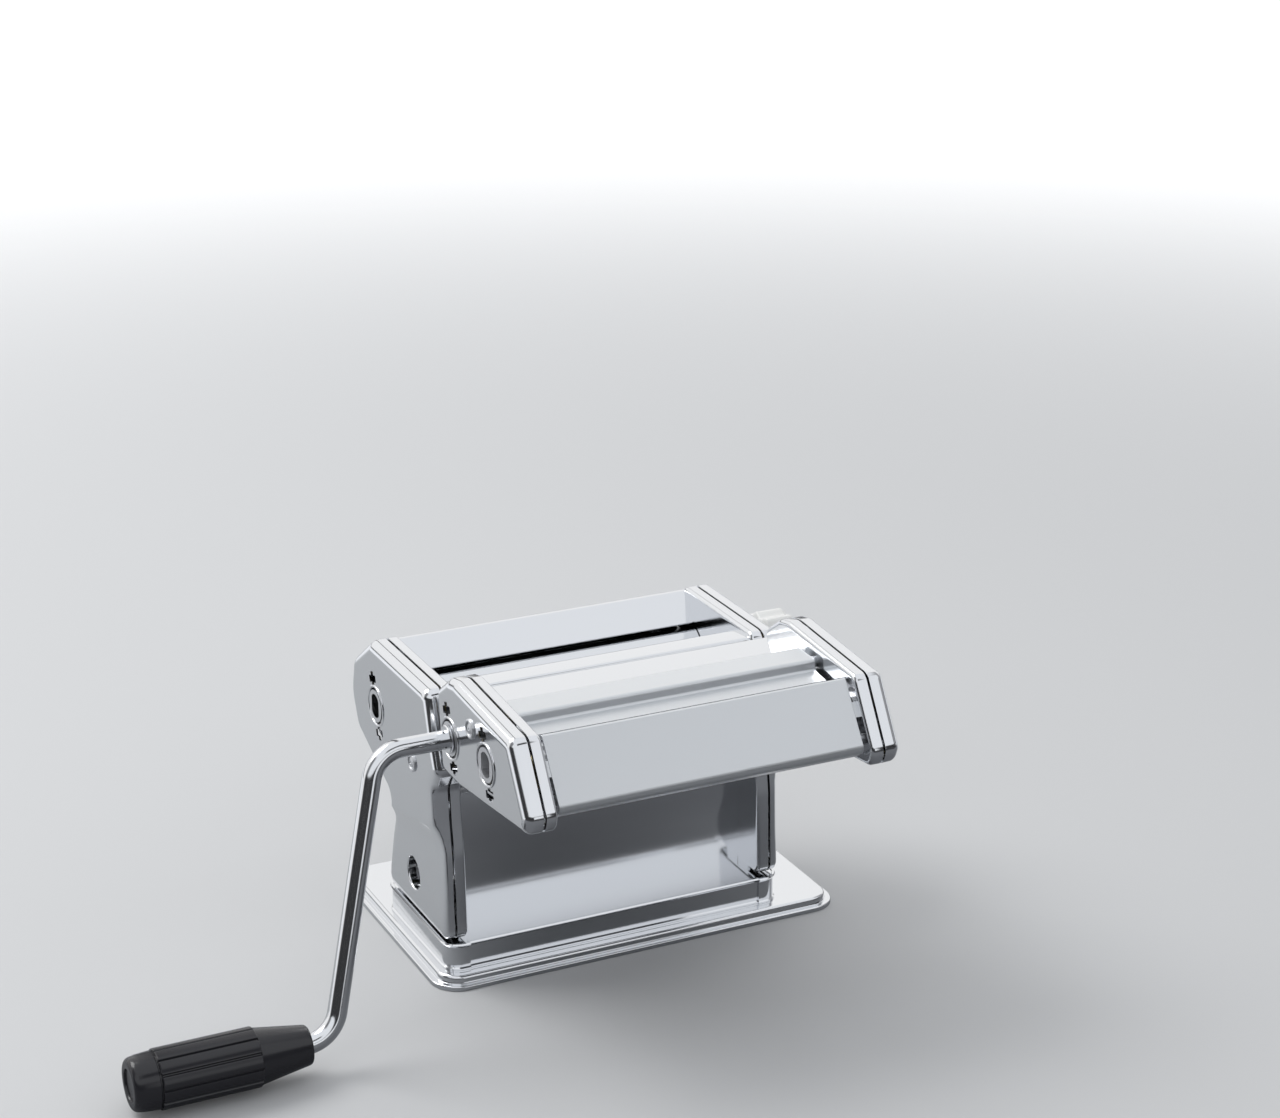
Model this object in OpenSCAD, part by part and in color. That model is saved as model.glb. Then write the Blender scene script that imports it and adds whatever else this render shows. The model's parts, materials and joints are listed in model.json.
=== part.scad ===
// Hand-cranked pasta roller machine with its lift-off cutter head.
// X runs along the rollers with the crank at -X, -Y is the cutter side, +Z is up.
// The origin is the middle of the base plate's underside.

/* [Base plate] */
// Length of the base plate along the rollers
base_l = 210; // [200:1:230]
// Depth of the base plate from front to back
base_d = 137.6; // [130:0.2:150]
// Height of the base plate's top face
base_h = 6; // [5:0.5:8]
// Corner radius of the base plate's lip
base_r = 14; // [12:1:18]
// Distance from the base plate's middle to the machine's middle along X
machine_x = -11; // [-14:1:-8]

/* [Pedestal] */
// Front face of the pedestal along Y
ped_front = -59.3; // [-60:0.1:-58.5]
// Back face of the pedestal along Y
ped_back = 19.2; // [18:0.1:20]
// Height of the pedestal's rolled rim
ped_h = 19.4; // [19:0.1:19.6]

/* [Side assemblies] */
// Half the clear width between the two inner frames
inner_half = 75.5; // [75:0.1:76]
// Half the width where frame and cover meet
seam_half = 81.2; // [81:0.1:81.5]
// Half the width over the outer faces of the covers
outer_half = 90.5; // [90:0.1:91]
// Gap between a frame's flange and its cover
seam_gap = 1; // [0.6:0.1:1.2]
// Radius of the covers' outer edge
cover_fillet = 5; // [4:0.5:6]
// Sheet thickness of covers and frames
sheet_t = 1.2; // [1:0.1:1.4]

/* [Sheet rollers] */
// Radius of the two smooth rollers
roller_r = 14.25; // [13.5:0.05:14.3]
// Axis of the fixed roller along Y
fixed_y = 15; // [14.5:0.1:15.5]
// Height of both smooth roller axes
roller_z = 112.5; // [112:0.1:113]
// Travel of the adjustable roller between its widest and narrowest gap
gap_travel = 2.5; // [2:0.1:2.6]

/* [Cutter head] */
// Axis of the wide cutter's driven roller along Y
wide_y = -79.3; // [-79.6:0.1:-79]
// Height of the wide cutter's driven roller
wide_z = 132; // [131.8:0.1:132.2]
// Distance between the driven rollers of the two cutters
cutter_pitch = 41.2; // [41:0.1:41.5]
// Upward tilt of the cutter head toward its front, in degrees
cutter_tilt = 5; // [4.5:0.1:5.5]
// Distance between the two rollers of one cutter
pair_c = 18.4; // [18.4:0.1:18.6]
// Ring pitch of the wide cutter
wide_pitch = 13.2; // [13:0.1:13.4]
// Ring pitch of the narrow cutter
narrow_pitch = 4; // [4:0.1:4.4]

/* [Crank] */
// Radius of the crank's rod
rod_r = 4.4; // [4:0.1:4.6]
// Bend radius of the rod beside the machine
rod_bend_top = 16; // [14:1:24]
// Bend radius of the rod beside the grip
rod_bend_low = 16; // [12:1:20]
// Upper bend of the crank along X, where rod and arm would meet
bend_x = -125.6; // [-127:0.1:-124]
// Lower bend of the crank along X
grip_x = -160.5; // [-162:0.1:-158]
// Axis of the grip along Y
grip_y = -109.3; // [-110:0.1:-108]
// Height of the grip's axis
grip_z = 15; // [14.5:0.1:16]
// Largest radius of the grip
grip_r = 13.3; // [12:0.1:13.4]
// Number of flat lands round the grip
grip_lands = 12; // [10:1:14]

/* [Thickness knob] */
// Radius over the knob's finger ribs
knob_r = 25; // [22:0.5:26]
// Number of finger ribs on the knob
knob_ribs = 14; // [10:1:18]
// Length of the knob along X
knob_l = 22; // [18:1:24]

/* [Hidden] */

$fn = 64;
play = 0.05;            // radial clearance of a running fit
seat = 0.02;            // radial clearance of parts pressed together
gap = 0.3;              // clearance between bodies that only pass each other

cover_depth = outer_half - seam_half - seam_gap;
frame_depth = seam_half - inner_half;
frame_fillet = 2.2;
cover_face = outer_half - sheet_t;      // inner face of a cover's head
frame_back = inner_half + sheet_t;      // outer face of an inner frame's sheet
leg_share = 0.58;        // how far the leg's face stands out, as a part of the head's
leg_face = seam_half + seam_gap + leg_share * cover_depth;

journal_r = 7;          // journals of the driven shafts
idle_r = 5;             // journals of the idle cutting rollers
drive_r = 5.8;          // drive hole, round part
drive_flat = 4.5;       // drive hole, half the distance between its flats
drive_from = 77;        // bottom of the drive hole
socket_r = 7.9;         // end of a driven shaft inside its ringed hole
socket_hole_r = 8.8;
socket_from = 86.1;
socket_to = outer_half + 0.4;

fixed_axis = [fixed_y, roller_z];
adjust_axis = [fixed_y - 2 * roller_r - 0.5 - gap_travel, roller_z];
eccentric = gap_travel / 2;
shaft_axis = adjust_axis + [eccentric, 0];

tilt_dir = [-cos(cutter_tilt), sin(cutter_tilt)];
wide_axis = [wide_y, wide_z];
wide_idle_axis = wide_axis + pair_c * tilt_dir;
narrow_axis = wide_axis + cutter_pitch * tilt_dir;
narrow_idle_axis = narrow_axis + pair_c * tilt_dir;
ring_r = pair_c / 2 + 0.7;              // outside of the cutting rings
core_r = pair_c / 2 - 0.9;              // bottom of the grooves between them
wide_side = 0.15;                       // side clearance between neighbouring wide rings
narrow_side = 0.2;

steel = [0.80, 0.81, 0.83];
satin = [0.66, 0.67, 0.69];
alloy = [0.74, 0.75, 0.77];
brass = [0.72, 0.60, 0.32];
black = [0.05, 0.05, 0.06];
nylon = [0.90, 0.89, 0.84];

// ---- Outlines: a corner is [y, z, radius] and a closed outline runs anticlockwise ----

function flat(p) = [p[0], p[1]];
function unit(v) = v / norm(v);
function left_of(v) = [-v[1], v[0]];
function wrap(a) = a > 180 ? a - 360 : a < -180 ? a + 360 : a;

// Points of the arc that rounds corner b between a and c
function corner_arc(a, b, c, r) =
    let (u = unit(a - b), w = unit(c - b), half = acos(u * w) / 2,
         mid = b + unit(u + w) * r / sin(half),
         from = b + u * r / tan(half) - mid, to = b + w * r / tan(half) - mid,
         start = atan2(from[1], from[0]), turn = wrap(atan2(to[1], to[0]) - start),
         n = max(2, ceil(abs(turn) / 16)))
    [for (i = [0:n]) mid + r * [cos(start + turn * i / n), sin(start + turn * i / n)]];

function corner(p, i) =
    let (n = len(p))
    p[i][2] == 0 ? [flat(p[i])]
                 : corner_arc(flat(p[(i + n - 1) % n]), flat(p[i]), flat(p[(i + 1) % n]), p[i][2]);

function rounded(p) = [for (i = [0:len(p) - 1]) each corner(p, i)];

// Point i of outline p moved inward by d, where its two edges meet again
function inset_point(p, i, d) =
    let (n = len(p), a = left_of(unit(p[i] - p[(i + n - 1) % n])),
         b = left_of(unit(p[(i + 1) % n] - p[i])))
    p[i] + d * (a + b) / (1 + a * b);
function inset(p, d) = [for (i = [0:len(p) - 1]) inset_point(p, i, d)];

// Cross-section of a bent sheet: the open line p given the thickness t on its left
function normal_at(p, i) = left_of(unit(p[i + 1] - p[i]));
function offset_at(p, i, t) =
    let (a = normal_at(p, max(i - 1, 0)), b = normal_at(p, min(i, len(p) - 2)))
    p[i] + t * (a + b) / (1 + a * b);
function sheet(p, t = sheet_t) = concat(p, [for (i = [len(p) - 1:-1:0]) offset_at(p, i, t)]);

// ---- Placing: a flat drawing stands up with its x along Y, its y along Z and its height along X ----

module stand_up() { rotate([90, 0, 90]) children(); }
module on_axis(c, x = 0) { translate([x, c[0], c[1]]) stand_up() children(); }
module on_machine() { translate([machine_x, 0, 0]) children(); }
module left_side() { mirror([1, 0, 0]) children(); }
module both_sides() {
    children();
    left_side() children();
}
module along_x(x0, x1) { translate([x0, 0, 0]) stand_up() linear_extrude(x1 - x0) children(); }
module across_x(half) { along_x(-half, half) children(); }
// Turned profile of [radius, x] points round the axis c
module turned(c, profile) { on_axis(c) rotate_extrude() polygon(profile); }
module disc(c, x0, x1, r) { on_axis(c, x0) cylinder(r = r, h = x1 - x0); }
module tube(c, x0, x1, r0, r1) { turned(c, [[r0, x0], [r1, x0], [r1, x1], [r0, x1]]); }
module hexagon(c, x0, x1, r) { on_axis(c, x0) cylinder(r = r, h = x1 - x0, $fn = 6); }
module flat_disc(c, x0, x1, r, half) {
    on_axis(c, x0) linear_extrude(x1 - x0) intersection() {
        circle(r);
        square([2 * half, 2 * r + 1], center = true);
    }
}

// ---- Side outlines of the body and of the cutter head ----

neck_back = [3.2, 66.5];
neck_front = [-54.8, 78.8];
step_back = [8.1, 55];
step_front = [-56.9, 64.5];
leg_corners = [[-58.4, 20.2, 5.6], [17, 20.2, 5.6], [11.4, 46, 30]];
head_corners = [[0.8, 72, 5], [43.5, 91, 10], [51.2, 108.3, 18], [46.8, 126, 9], [22, 143.2, 6],
                [-48.6, 142.9, 5.8], [-55.4, 118, 30], [-60, 106.3, 5.8], [-53.4, 96.5, 8]];
leg_arcs = rounded(concat(leg_corners, [concat(step_back, 0), concat(step_front, 0)]));
head_arcs = rounded(concat([concat(neck_back, 0)], head_corners, [concat(neck_front, 0)]));
leg_n = len(leg_arcs) - 1;              // the leg's points, with step_back as the last of them
head_n = len(head_arcs);
body_n = leg_n + head_n + 1;
body_outline = concat([for (i = [0:leg_n - 1]) leg_arcs[i]], head_arcs, [step_front]);
// The face steps in below the neck: a field on the leg, a slanted one and a field on the head
body_fields = [[each [0:leg_n - 1], body_n - 1],
               [leg_n - 1, leg_n, body_n - 2], [leg_n - 1, body_n - 2, body_n - 1],
               [each [leg_n:body_n - 2]]];
body_share = [for (i = [0:body_n - 1]) i < leg_n || i == body_n - 1 ? leg_share : 1];

cutter_outline = rounded([[-161, 118.4, 5.6], [-86, 110.6, 30], [-66, 111.6, 5.6], [-62.3, 150, 5.6],
                          [-76, 159.5, 8], [-84, 160.9, 8], [-145.6, 156.4, 5.8], [-163.8, 126, 6]]);

function all_of(p) = [[each [0:len(p) - 1]]];
function full(p) = [for (q = p) 1];

// ---- Pressed side: a tray of sheet with a rounded edge and a flat face, open at the back ----

// Rings [distance inward, height] of a rounded edge of radius r that ends at the height d
function edge_rings(d, r, n) = [for (i = [0:n]) [r * (1 - cos(90 * i / n)), d - r + r * sin(90 * i / n)]];

module pressed_side(outline, fields, share, depth, fillet, steps) {
    outer = concat([[0, 0]], edge_rings(depth, fillet, steps));
    inside = [for (e = edge_rings(depth - sheet_t, max(0.4, fillet - sheet_t), 2)) [e[0] + sheet_t, e[1]]];
    rings = concat(outer, [for (i = [len(inside) - 1:-1:0]) inside[i]], [[sheet_t, 0]]);
    n = len(outline);
    last = len(rings) - 1;
    face = len(outer) - 1;
    points = [for (e = rings) let (q = inset(outline, e[0]))
        each [for (i = [0:n - 1]) [q[i][0], q[i][1], e[1] * share[i]]]];
    walls = [for (k = [0:last]) if (k != face) each [for (i = [0:n - 1])
        let (j = (i + 1) % n, a = k * n, b = (k + 1) % (last + 1) * n)
        each [[a + i, b + i, b + j], [a + i, b + j, a + j]]]];
    caps = [for (f = fields) each [[for (i = [len(f) - 1:-1:0]) f[i] + face * n],
                                   [for (i = f) i + (face + 1) * n]]];
    polyhedron(points, concat(walls, caps), convexity = 6);
}

module cover_shell(outline, fields, share) {
    translate([seam_half + seam_gap, 0, 0]) stand_up()
        pressed_side(outline, fields, share, cover_depth, cover_fillet, 4);
}
module frame_tray(outline) {
    translate([seam_half, 0, 0]) mirror([1, 0, 0]) stand_up()
        pressed_side(outline, all_of(outline), full(outline), frame_depth, frame_fillet, 3);
}

// ---- Details of the sides ----

socket_rim_r = 9.6;     // raised ring round a socket hole
keyhole_wide = [8.6, 3.4];              // crossed slots above and below a socket
keyhole_tall = [3.2, 7.2];
keyhole_off = 13;       // distance from a socket to its slots
keyhole_tilt = 15.6;
rivet_r = 4.5;
rivet_pin_r = 1.8;
clamp_c = [-18.3, 39.4];
clamp_r = 8;
clamp_rim_r = 9.2;
clamp_l = 4.2;

function along_tilt(d) = d * [sin(keyhole_tilt), cos(keyhole_tilt)];

module socket_rim(c) {
    on_axis(c, outer_half - 0.1) rotate_extrude() translate([socket_rim_r, 0]) circle(0.7);
}
module keyhole(c) {
    on_axis(c, seam_half) rotate(-keyhole_tilt) linear_extrude(outer_half) {
        square(keyhole_wide, center = true);
        square(keyhole_tall, center = true);
    }
}
module socket_cut(c) {
    disc(c, seam_half, 2 * outer_half, socket_hole_r);
    keyhole(c + along_tilt(keyhole_off));
    keyhole(c - along_tilt(keyhole_off));
}
module rivet(c, x) {
    disc(c, x - 3, x, rivet_pin_r);
    turned(c, [[0, x], [rivet_r, x], [rivet_r - 0.3, x + 0.7], [rivet_r - 1.2, x + 1],
               [rivet_r - 1.8, x + 0.5], [0, x + 0.5]]);
}

// ---- Base ----

ped_half = 86.5;
ped_r = 8;
ped_mid = (ped_front + ped_back) / 2;
ped_cy = (ped_back - ped_front) / 2 - ped_r;
ped_recess = 1;         // how far the pedestal's front steps back between the legs
ped_profile = [[0.6, base_h], [0.6, base_h + 0.8], [0, base_h + 1.4], [0, ped_h - 2], [0.5, ped_h - 1.4],
               [0.9, ped_h - 0.7], [0.5, ped_h], [-0.6, ped_h], [-1.1, ped_h - 0.6], [-1.2, base_h]];
base_profile = [[0, 0.2], [0, 2], [-0.6, 2.4], [-2.8, 2.4], [-3.2, 3], [-3.5, 5], [-3.9, 5.7], [-4.4, 5.95],
                [-5, 5.95], [-5, 5], [-4.4, 4.5], [-4.2, 2], [-3.6, 1.4], [-1, 1.4], [-1, 0.2]];
base_top = 5.95;
base_sheet = 0.95;
foot_r = 8;
foot_x = 84;
foot_y = 48;

module rounded_rect(l, d, r) {
    square([l - 2 * r, d], center = true);
    square([l, d - 2 * r], center = true);
    for (x = [-1, 1], y = [-1, 1]) translate([x * (l / 2 - r), y * (d / 2 - r)]) circle(r);
}

// Profile [outward, z] carried round a rectangle whose corners of radius r are centred at cx and cy
module swept_rim(cx, cy, r, profile) {
    outline = [for (p = profile) [r + p[0], p[1]]];
    for (q = [0:3])
        translate([q == 0 || q == 3 ? cx : -cx, q < 2 ? cy : -cy, 0]) rotate(90 * q) {
            rotate_extrude(angle = 90) polygon(outline);
            along_x(q % 2 == 0 ? -2 * cx : -2 * cy, 0) polygon(outline);
        }
}

module base_plate() {
    cx = base_l / 2 - base_r;
    cy = base_d / 2 - base_r;
    top_r = base_r - 4.8;
    color(steel) {
        swept_rim(cx, cy, base_r, base_profile);
        translate([0, 0, base_top - base_sheet]) linear_extrude(base_sheet)
            rounded_rect(2 * (cx + top_r), 2 * (cy + top_r), top_r);
    }
}

module base_feet() {
    color(black) for (x = [-1, 1], y = [-1, 1])
        translate([x * foot_x, y * foot_y, 0]) cylinder(r = foot_r, h = base_top - base_sheet);
}

module pedestal() {
    cut = inner_half + 0.5;
    top_r = ped_r - 1;
    front = ped_front + ped_recess;
    color(steel) on_machine() {
        translate([0, ped_mid, 0]) difference() {
            union() {
                swept_rim(ped_half - ped_r, ped_cy, ped_r, ped_profile);
                translate([0, 0, ped_h - 1.6]) linear_extrude(sheet_t)
                    rounded_rect(2 * (ped_half - 1), 2 * (ped_cy + top_r), top_r);
            }
            translate([-inner_half, -ped_cy - 2 * ped_r, 0])
                cube([2 * inner_half, ped_r + 2, 2 * ped_h]);
        }
        across_x(cut) translate([front, 0]) mirror([1, 0])
            polygon([for (p = ped_profile) [p[0], p[1]]]);
        across_x(cut) translate([front + 1, ped_h - 1.6]) square([ped_r + 2, sheet_t]);
    }
}

// ---- Body ----

body_rods = [[-41, 133], [37, 121], [-41, 89], [29.3, 93], [-31, 30], [2, 27.6]];
body_rod_r = 3;
rod_end_r = 2.5;
nut_r = 5;
nut_l = 4;
body_rivets_at = [[-31.2, 101.8]];
knob_bush_r = 8.5;      // outside of the knob's bearing where it passes the cover
bushing_r = 9.5;        // outside of the fixed roller's bushings
block_y = 10.5;         // half the width of the bearing blocks
block_z_right = 11;     // half the height of the right block
block_z_left = 20;
window_y = block_y + gap;

module rod_holes(rods, r) { for (c = rods) disc(c, inner_half - 1, frame_back + 1, r); }

module body_cover() {
    cover_shell(body_outline, body_fields, body_share);
}

module left_cover() {
    color(steel) on_machine() left_side() {
        difference() {
            union() {
                body_cover();
                socket_rim(fixed_axis);
            }
            socket_cut(fixed_axis);
            disc(clamp_c, seam_half, outer_half, clamp_rim_r - 0.2);
            for (c = body_rivets_at) disc(c, seam_half, outer_half, rivet_pin_r);
        }
        tube(clamp_c, leg_face - clamp_l, leg_face, clamp_r, clamp_rim_r);
    }
}

module right_cover() {
    color(steel) on_machine() difference() {
        body_cover();
        disc(shaft_axis, seam_half, outer_half + 1, knob_bush_r + seat);
        for (c = body_rivets_at) disc(c, seam_half, outer_half, rivet_pin_r);
    }
}

// Window in which a bearing block slides toward +Y
module block_window(half_z) {
    translate([inner_half - 1, adjust_axis[0] - window_y, adjust_axis[1] - half_z - gap])
        cube([4, 2 * window_y + gap_travel, 2 * (half_z + gap)]);
}

module body_frame(half_z) {
    foot_from = -48;
    foot_to = 8;
    foot_in = 0.1;              // the foot lies within the sheet's thickness
    difference() {
        union() {
            frame_tray(body_outline);
            translate([inner_half + foot_in, foot_from, ped_h - 0.4])
                cube([sheet_t - 2 * foot_in, foot_to - foot_from, 5]);
        }
        disc(fixed_axis, inner_half - 1, frame_back + 1, bushing_r);
        block_window(half_z);
        rod_holes(body_rods, rod_end_r + seat);
    }
}

module left_frame() { color(steel) on_machine() left_side() body_frame(block_z_left); }
module right_frame() { color(steel) on_machine() body_frame(block_z_right); }

front_panel_path = [[-37, 92.8], [-39.2, 57.4], [-37, 45.6], [-37, ped_h - 0.4]];
chute_path = [[-35.8, 64], [-28, 58], [14, 24], [16.8, 20.2]];
front_guide_path = [[-19.5, 128.6, 0], [-34.5, 140.2, 4], [-47, 140.2, 2], [-47, 93, 0]];
rear_guide_path = [[42, 94, 0], [49.5, 108, 12], [45, 126.5, 5], [23, 142.2, 3], [9, 129.5, 0]];
front_scraper_path = [[-27, 101.6], [-36, 94], [-45.8, 94]];
rear_scraper_path = [[25.5, 102], [32, 96], [41.4, 96]];
blade_t = 1;

// A bent sheet between the two inner frames
module body_sheet(path, t = sheet_t) { across_x(inner_half) polygon(sheet(path, t)); }

module front_panel() { color(steel) on_machine() body_sheet(front_panel_path); }
module exit_chute() { color(satin) on_machine() body_sheet(chute_path, blade_t); }
module front_guide() { color(steel) on_machine() body_sheet(rounded(front_guide_path)); }
module rear_guide() { color(steel) on_machine() body_sheet(rounded(rear_guide_path)); }
module front_scraper() { color(satin) on_machine() body_sheet(front_scraper_path, blade_t); }
module rear_scraper() { color(satin) on_machine() body_sheet(rear_scraper_path, blade_t); }

module rod_set(rods, r, end_r, end_l) {
    for (c = rods) {
        disc(c, -inner_half, inner_half, r);
        disc(c, -inner_half - end_l, inner_half + end_l, end_r);
    }
}
module nut_set(rods, end_r, r, l) {
    both_sides() for (c = rods) difference() {
        hexagon(c, frame_back, frame_back + l, r);
        disc(c, frame_back - 1, frame_back + l + 1, end_r + seat);
    }
}

module body_tie_rods() {
    color(satin) on_machine() rod_set(body_rods, body_rod_r, rod_end_r, nut_l + 1.7);
}
module body_nuts() {
    color(satin) on_machine() nut_set(body_rods, rod_end_r, nut_r, nut_l);
}
module body_rivets() {
    color(satin) on_machine() both_sides() for (c = body_rivets_at) rivet(c, outer_half);
}

bushing_to = 79.4;
pin_r = 2.5;            // left end of the adjuster shaft
module body_bushings() {
    color(brass) on_machine() {
        both_sides() {
            tube(fixed_axis, inner_half, bushing_to, journal_r + play, bushing_r - seat);
            tube(fixed_axis, frame_back, frame_back + 1, bushing_r - 1, bushing_r + 1.5);
        }
        left_side() tube(shaft_axis, cover_face - 1.3, cover_face, pin_r + play, 6);
    }
}

// ---- Rails that carry the cutter head, and the hooks that run on them ----

rail_x = 66;
rail_web = 2;
rail_head_w = 8;
rail_head_y = [-57.5, -55.5];
rail_z = [110, 138];
hook_wall = 1.3;
hook_z = [112, 139.6];

module box(x, y, z) { translate([x[0], y[0], z[0]]) cube([x[1] - x[0], y[1] - y[0], z[1] - z[0]]); }

module cutter_rails() {
    color(satin) on_machine() both_sides() translate([rail_x, 0, 0]) {
        box([-rail_web / 2, rail_web / 2], [rail_head_y[1] - 0.5, -47], rail_z);
        box([-rail_head_w / 2, rail_head_w / 2], rail_head_y, rail_z);
    }
}

module cutter_hooks() {
    half = rail_head_w / 2 + gap;
    front = rail_head_y[0] - gap;
    back = rail_head_y[1] + gap;
    color(satin) on_machine() both_sides() translate([rail_x, 0, 0]) {
        difference() {
            box([-half - hook_wall, half + hook_wall], [front - hook_wall, back + hook_wall], hook_z);
            box([-half, half], [front, back], [hook_z[0] - 1, rail_z[1] + gap]);
            box([-rail_web / 2 - gap, rail_web / 2 + gap], [back - 1, back + 2 * hook_wall],
                [hook_z[0] - 1, rail_z[1] + gap]);
        }
        box([-3, 3], [back_guide_y, front - hook_wall], hook_z);
    }
}

// ---- Smooth rollers and their gears ----

body_gear_x = 79.6;
body_gear_w = 5;
body_teeth = 15;
cutter_gear_x = 80.2;
cutter_gear_w = 5.4;
cutter_teeth = 19;
nominal_c = 2 * roller_r + 0.5;         // centre distance at the narrowest gap
barrel_half = 75.1;
neck_r = 8;             // journals of the adjustable roller
shaft_bore = 6.2;       // room round the adjuster shaft

// Angle of an involute that starts at the base circle
function involute(r, base) = r <= base ? 0 : sqrt(r * r / base / base - 1) * 180 / PI - acos(base / r);

// Outline of a spur gear with a tooth at the angle phase
function gear_points(n, pitch_r, tip_r, root_r, backlash, phase) =
    let (base = pitch_r * cos(20), from = max(root_r, base),
         half = 90 / n - backlash / pitch_r * 90 / PI + involute(pitch_r, base),
         flank = [for (i = [0:4]) let (r = from + (tip_r - from) * i / 4) [r, half - involute(r, base)]],
         side = concat(root_r < base ? [[root_r, half]] : [], flank), m = len(side) - 1)
    [for (k = [0:n - 1]) let (a = phase + 360 * k / n) each concat(
        [for (s = side) s[0] * [cos(a - s[1]), sin(a - s[1])]],
        [for (i = [m:-1:0]) side[i][0] * [cos(a + side[i][1]), sin(a + side[i][1])]])];

function direction(v) = atan2(v[1], v[0]);

module gear(c, x, w, points, bore) {
    left_side() difference() {
        on_axis(c, x) linear_extrude(w) polygon(points);
        disc(c, x - 1, x + w + 1, bore + seat);
    }
}
module body_gear(c, phase, bore) {
    r = nominal_c / 2;
    points = gear_points(body_teeth, r, r + 1.7, r - 2.2, 0.3, phase);
    gear(c, body_gear_x, body_gear_w, points, bore);
}
module cutter_gear(c, phase, bore) {
    r = pair_c / 2;
    points = gear_points(cutter_teeth, r, r + 0.85, r - 1.15, 0.25, phase);
    gear(c, cutter_gear_x, cutter_gear_w, points, bore);
}

// Ringed end of a driven shaft, in its own left-hand frame
module drive_end(c) {
    left_side() difference() {
        union() {
            disc(c, barrel_half - 1, socket_from, journal_r);
            disc(c, socket_from, socket_to, socket_r);
        }
        flat_disc(c, drive_from, socket_to + 1, drive_r, drive_flat);
    }
}

module fixed_roller() {
    bore = 4.5;
    color(steel) on_machine() {
        turned(fixed_axis, [[0, -barrel_half], [roller_r, -barrel_half], [roller_r, barrel_half],
                            [journal_r, barrel_half], [journal_r, bushing_to + 1.6],
                            [bore, bushing_to + 1.6], [bore, -60], [0, -60]]);
        drive_end(fixed_axis);
    }
}
module fixed_gear() { color(satin) on_machine() body_gear(fixed_axis, 180, journal_r); }

module adjustable_roller() {
    color(steel) on_machine()
        turned(adjust_axis, [[shaft_bore, -84.9], [neck_r, -84.9], [neck_r, -barrel_half],
                             [roller_r, -barrel_half], [roller_r, barrel_half], [neck_r, barrel_half],
                             [neck_r, 79.4], [shaft_bore, 79.4]]);
}
module adjustable_gear() { color(satin) on_machine() body_gear(adjust_axis, 180 / body_teeth, neck_r); }

// ---- Roller adjuster: a through shaft whose two eccentric discs move the bearing blocks ----

adjuster_r = 3.6;
eccentric_r = 5;
yoke_y = eccentric_r + 0.35;
yoke_z = eccentric_r + eccentric + 0.45;
knob_journal_r = 5;
knob_seat_r = 4.8;
knob_seat_flat = 3.9;
index_x = 92.2;         // outer face of the index plate
index_r = 14;
index_pin_r = 12;       // circle on which the knob's index pin sits
index_step = 30;
knob_x = index_x + 1.3;
shaft_end = knob_x + 18;

module block_plate(x0, x1, half_z) {
    translate([x0, adjust_axis[0] - block_y, adjust_axis[1] - half_z])
        cube([x1 - x0, 2 * block_y, 2 * half_z]);
}
module yoke_slot(x0, x1) {
    translate([x0, adjust_axis[0] - yoke_y, adjust_axis[1] - yoke_z])
        cube([x1 - x0, 2 * yoke_y, 2 * yoke_z]);
}

module right_bearing_block() {
    color(brass) on_machine() difference() {
        block_plate(inner_half + 0.1, 84, block_z_right);
        disc(adjust_axis, inner_half - 1, 79.7, neck_r + play);
        yoke_slot(79.6, 85);
    }
}

module left_bearing_block() {
    post_y = 8;
    post_z = 17;
    color(brass) on_machine() left_side() {
        difference() {
            block_plate(inner_half + 0.1, 79.2, block_z_left);
            disc(adjust_axis, inner_half - 1, 80, neck_r + play);
        }
        difference() {
            block_plate(85.2, 87.8, block_z_left);
            yoke_slot(85, 88);
        }
        for (from = [post_z, -block_z_left]) translate([79, adjust_axis[0] - post_y, adjust_axis[1] + from])
            cube([6.4, 2 * post_y, block_z_left - post_z]);
    }
}

module adjuster_shaft() {
    color(satin) on_machine() {
        disc(shaft_axis, -cover_face + 0.2, -87, pin_r);
        disc(shaft_axis, -87.6, 84.2, adjuster_r);
        disc(adjust_axis, 79.9, 83.7, eccentric_r);
        disc(adjust_axis, -87.6, -85.6, eccentric_r);
        disc(shaft_axis, 84.2, index_x, knob_journal_r);
        flat_disc(shaft_axis, index_x, shaft_end, knob_seat_r, knob_seat_flat);
        disc(shaft_axis, shaft_end, shaft_end + 1.4, knob_seat_r + 1.6);
    }
}

module knob_bearing() {
    groove = 1.4;
    color(satin) on_machine() difference() {
        union() {
            disc(shaft_axis, 85.6, index_x, knob_bush_r);
            disc(shaft_axis, cover_face - 1.6, cover_face, knob_bush_r + 4);
            disc(shaft_axis, outer_half, index_x, index_r);
        }
        disc(shaft_axis, 85, index_x + 1, knob_journal_r + play);
        tube(shaft_axis, index_x - 0.9, index_x + 1, index_pin_r - groove, index_pin_r + groove);
        for (k = [0:6]) let (a = 180 + index_step * k)
            on_axis(shaft_axis + index_pin_r * [cos(a), sin(a)], index_x - 1.4) cylinder(r = 1.1, h = 1);
    }
}

// Finger ribs: a round outline that swells and dips n times
function ribbed(n, r, dip) = [for (i = [0:8 * n - 1])
    let (a = 45 / n * i, q = r - dip * (1 - cos(n * a)) / 2) q * [cos(a), sin(a)]];

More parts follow.
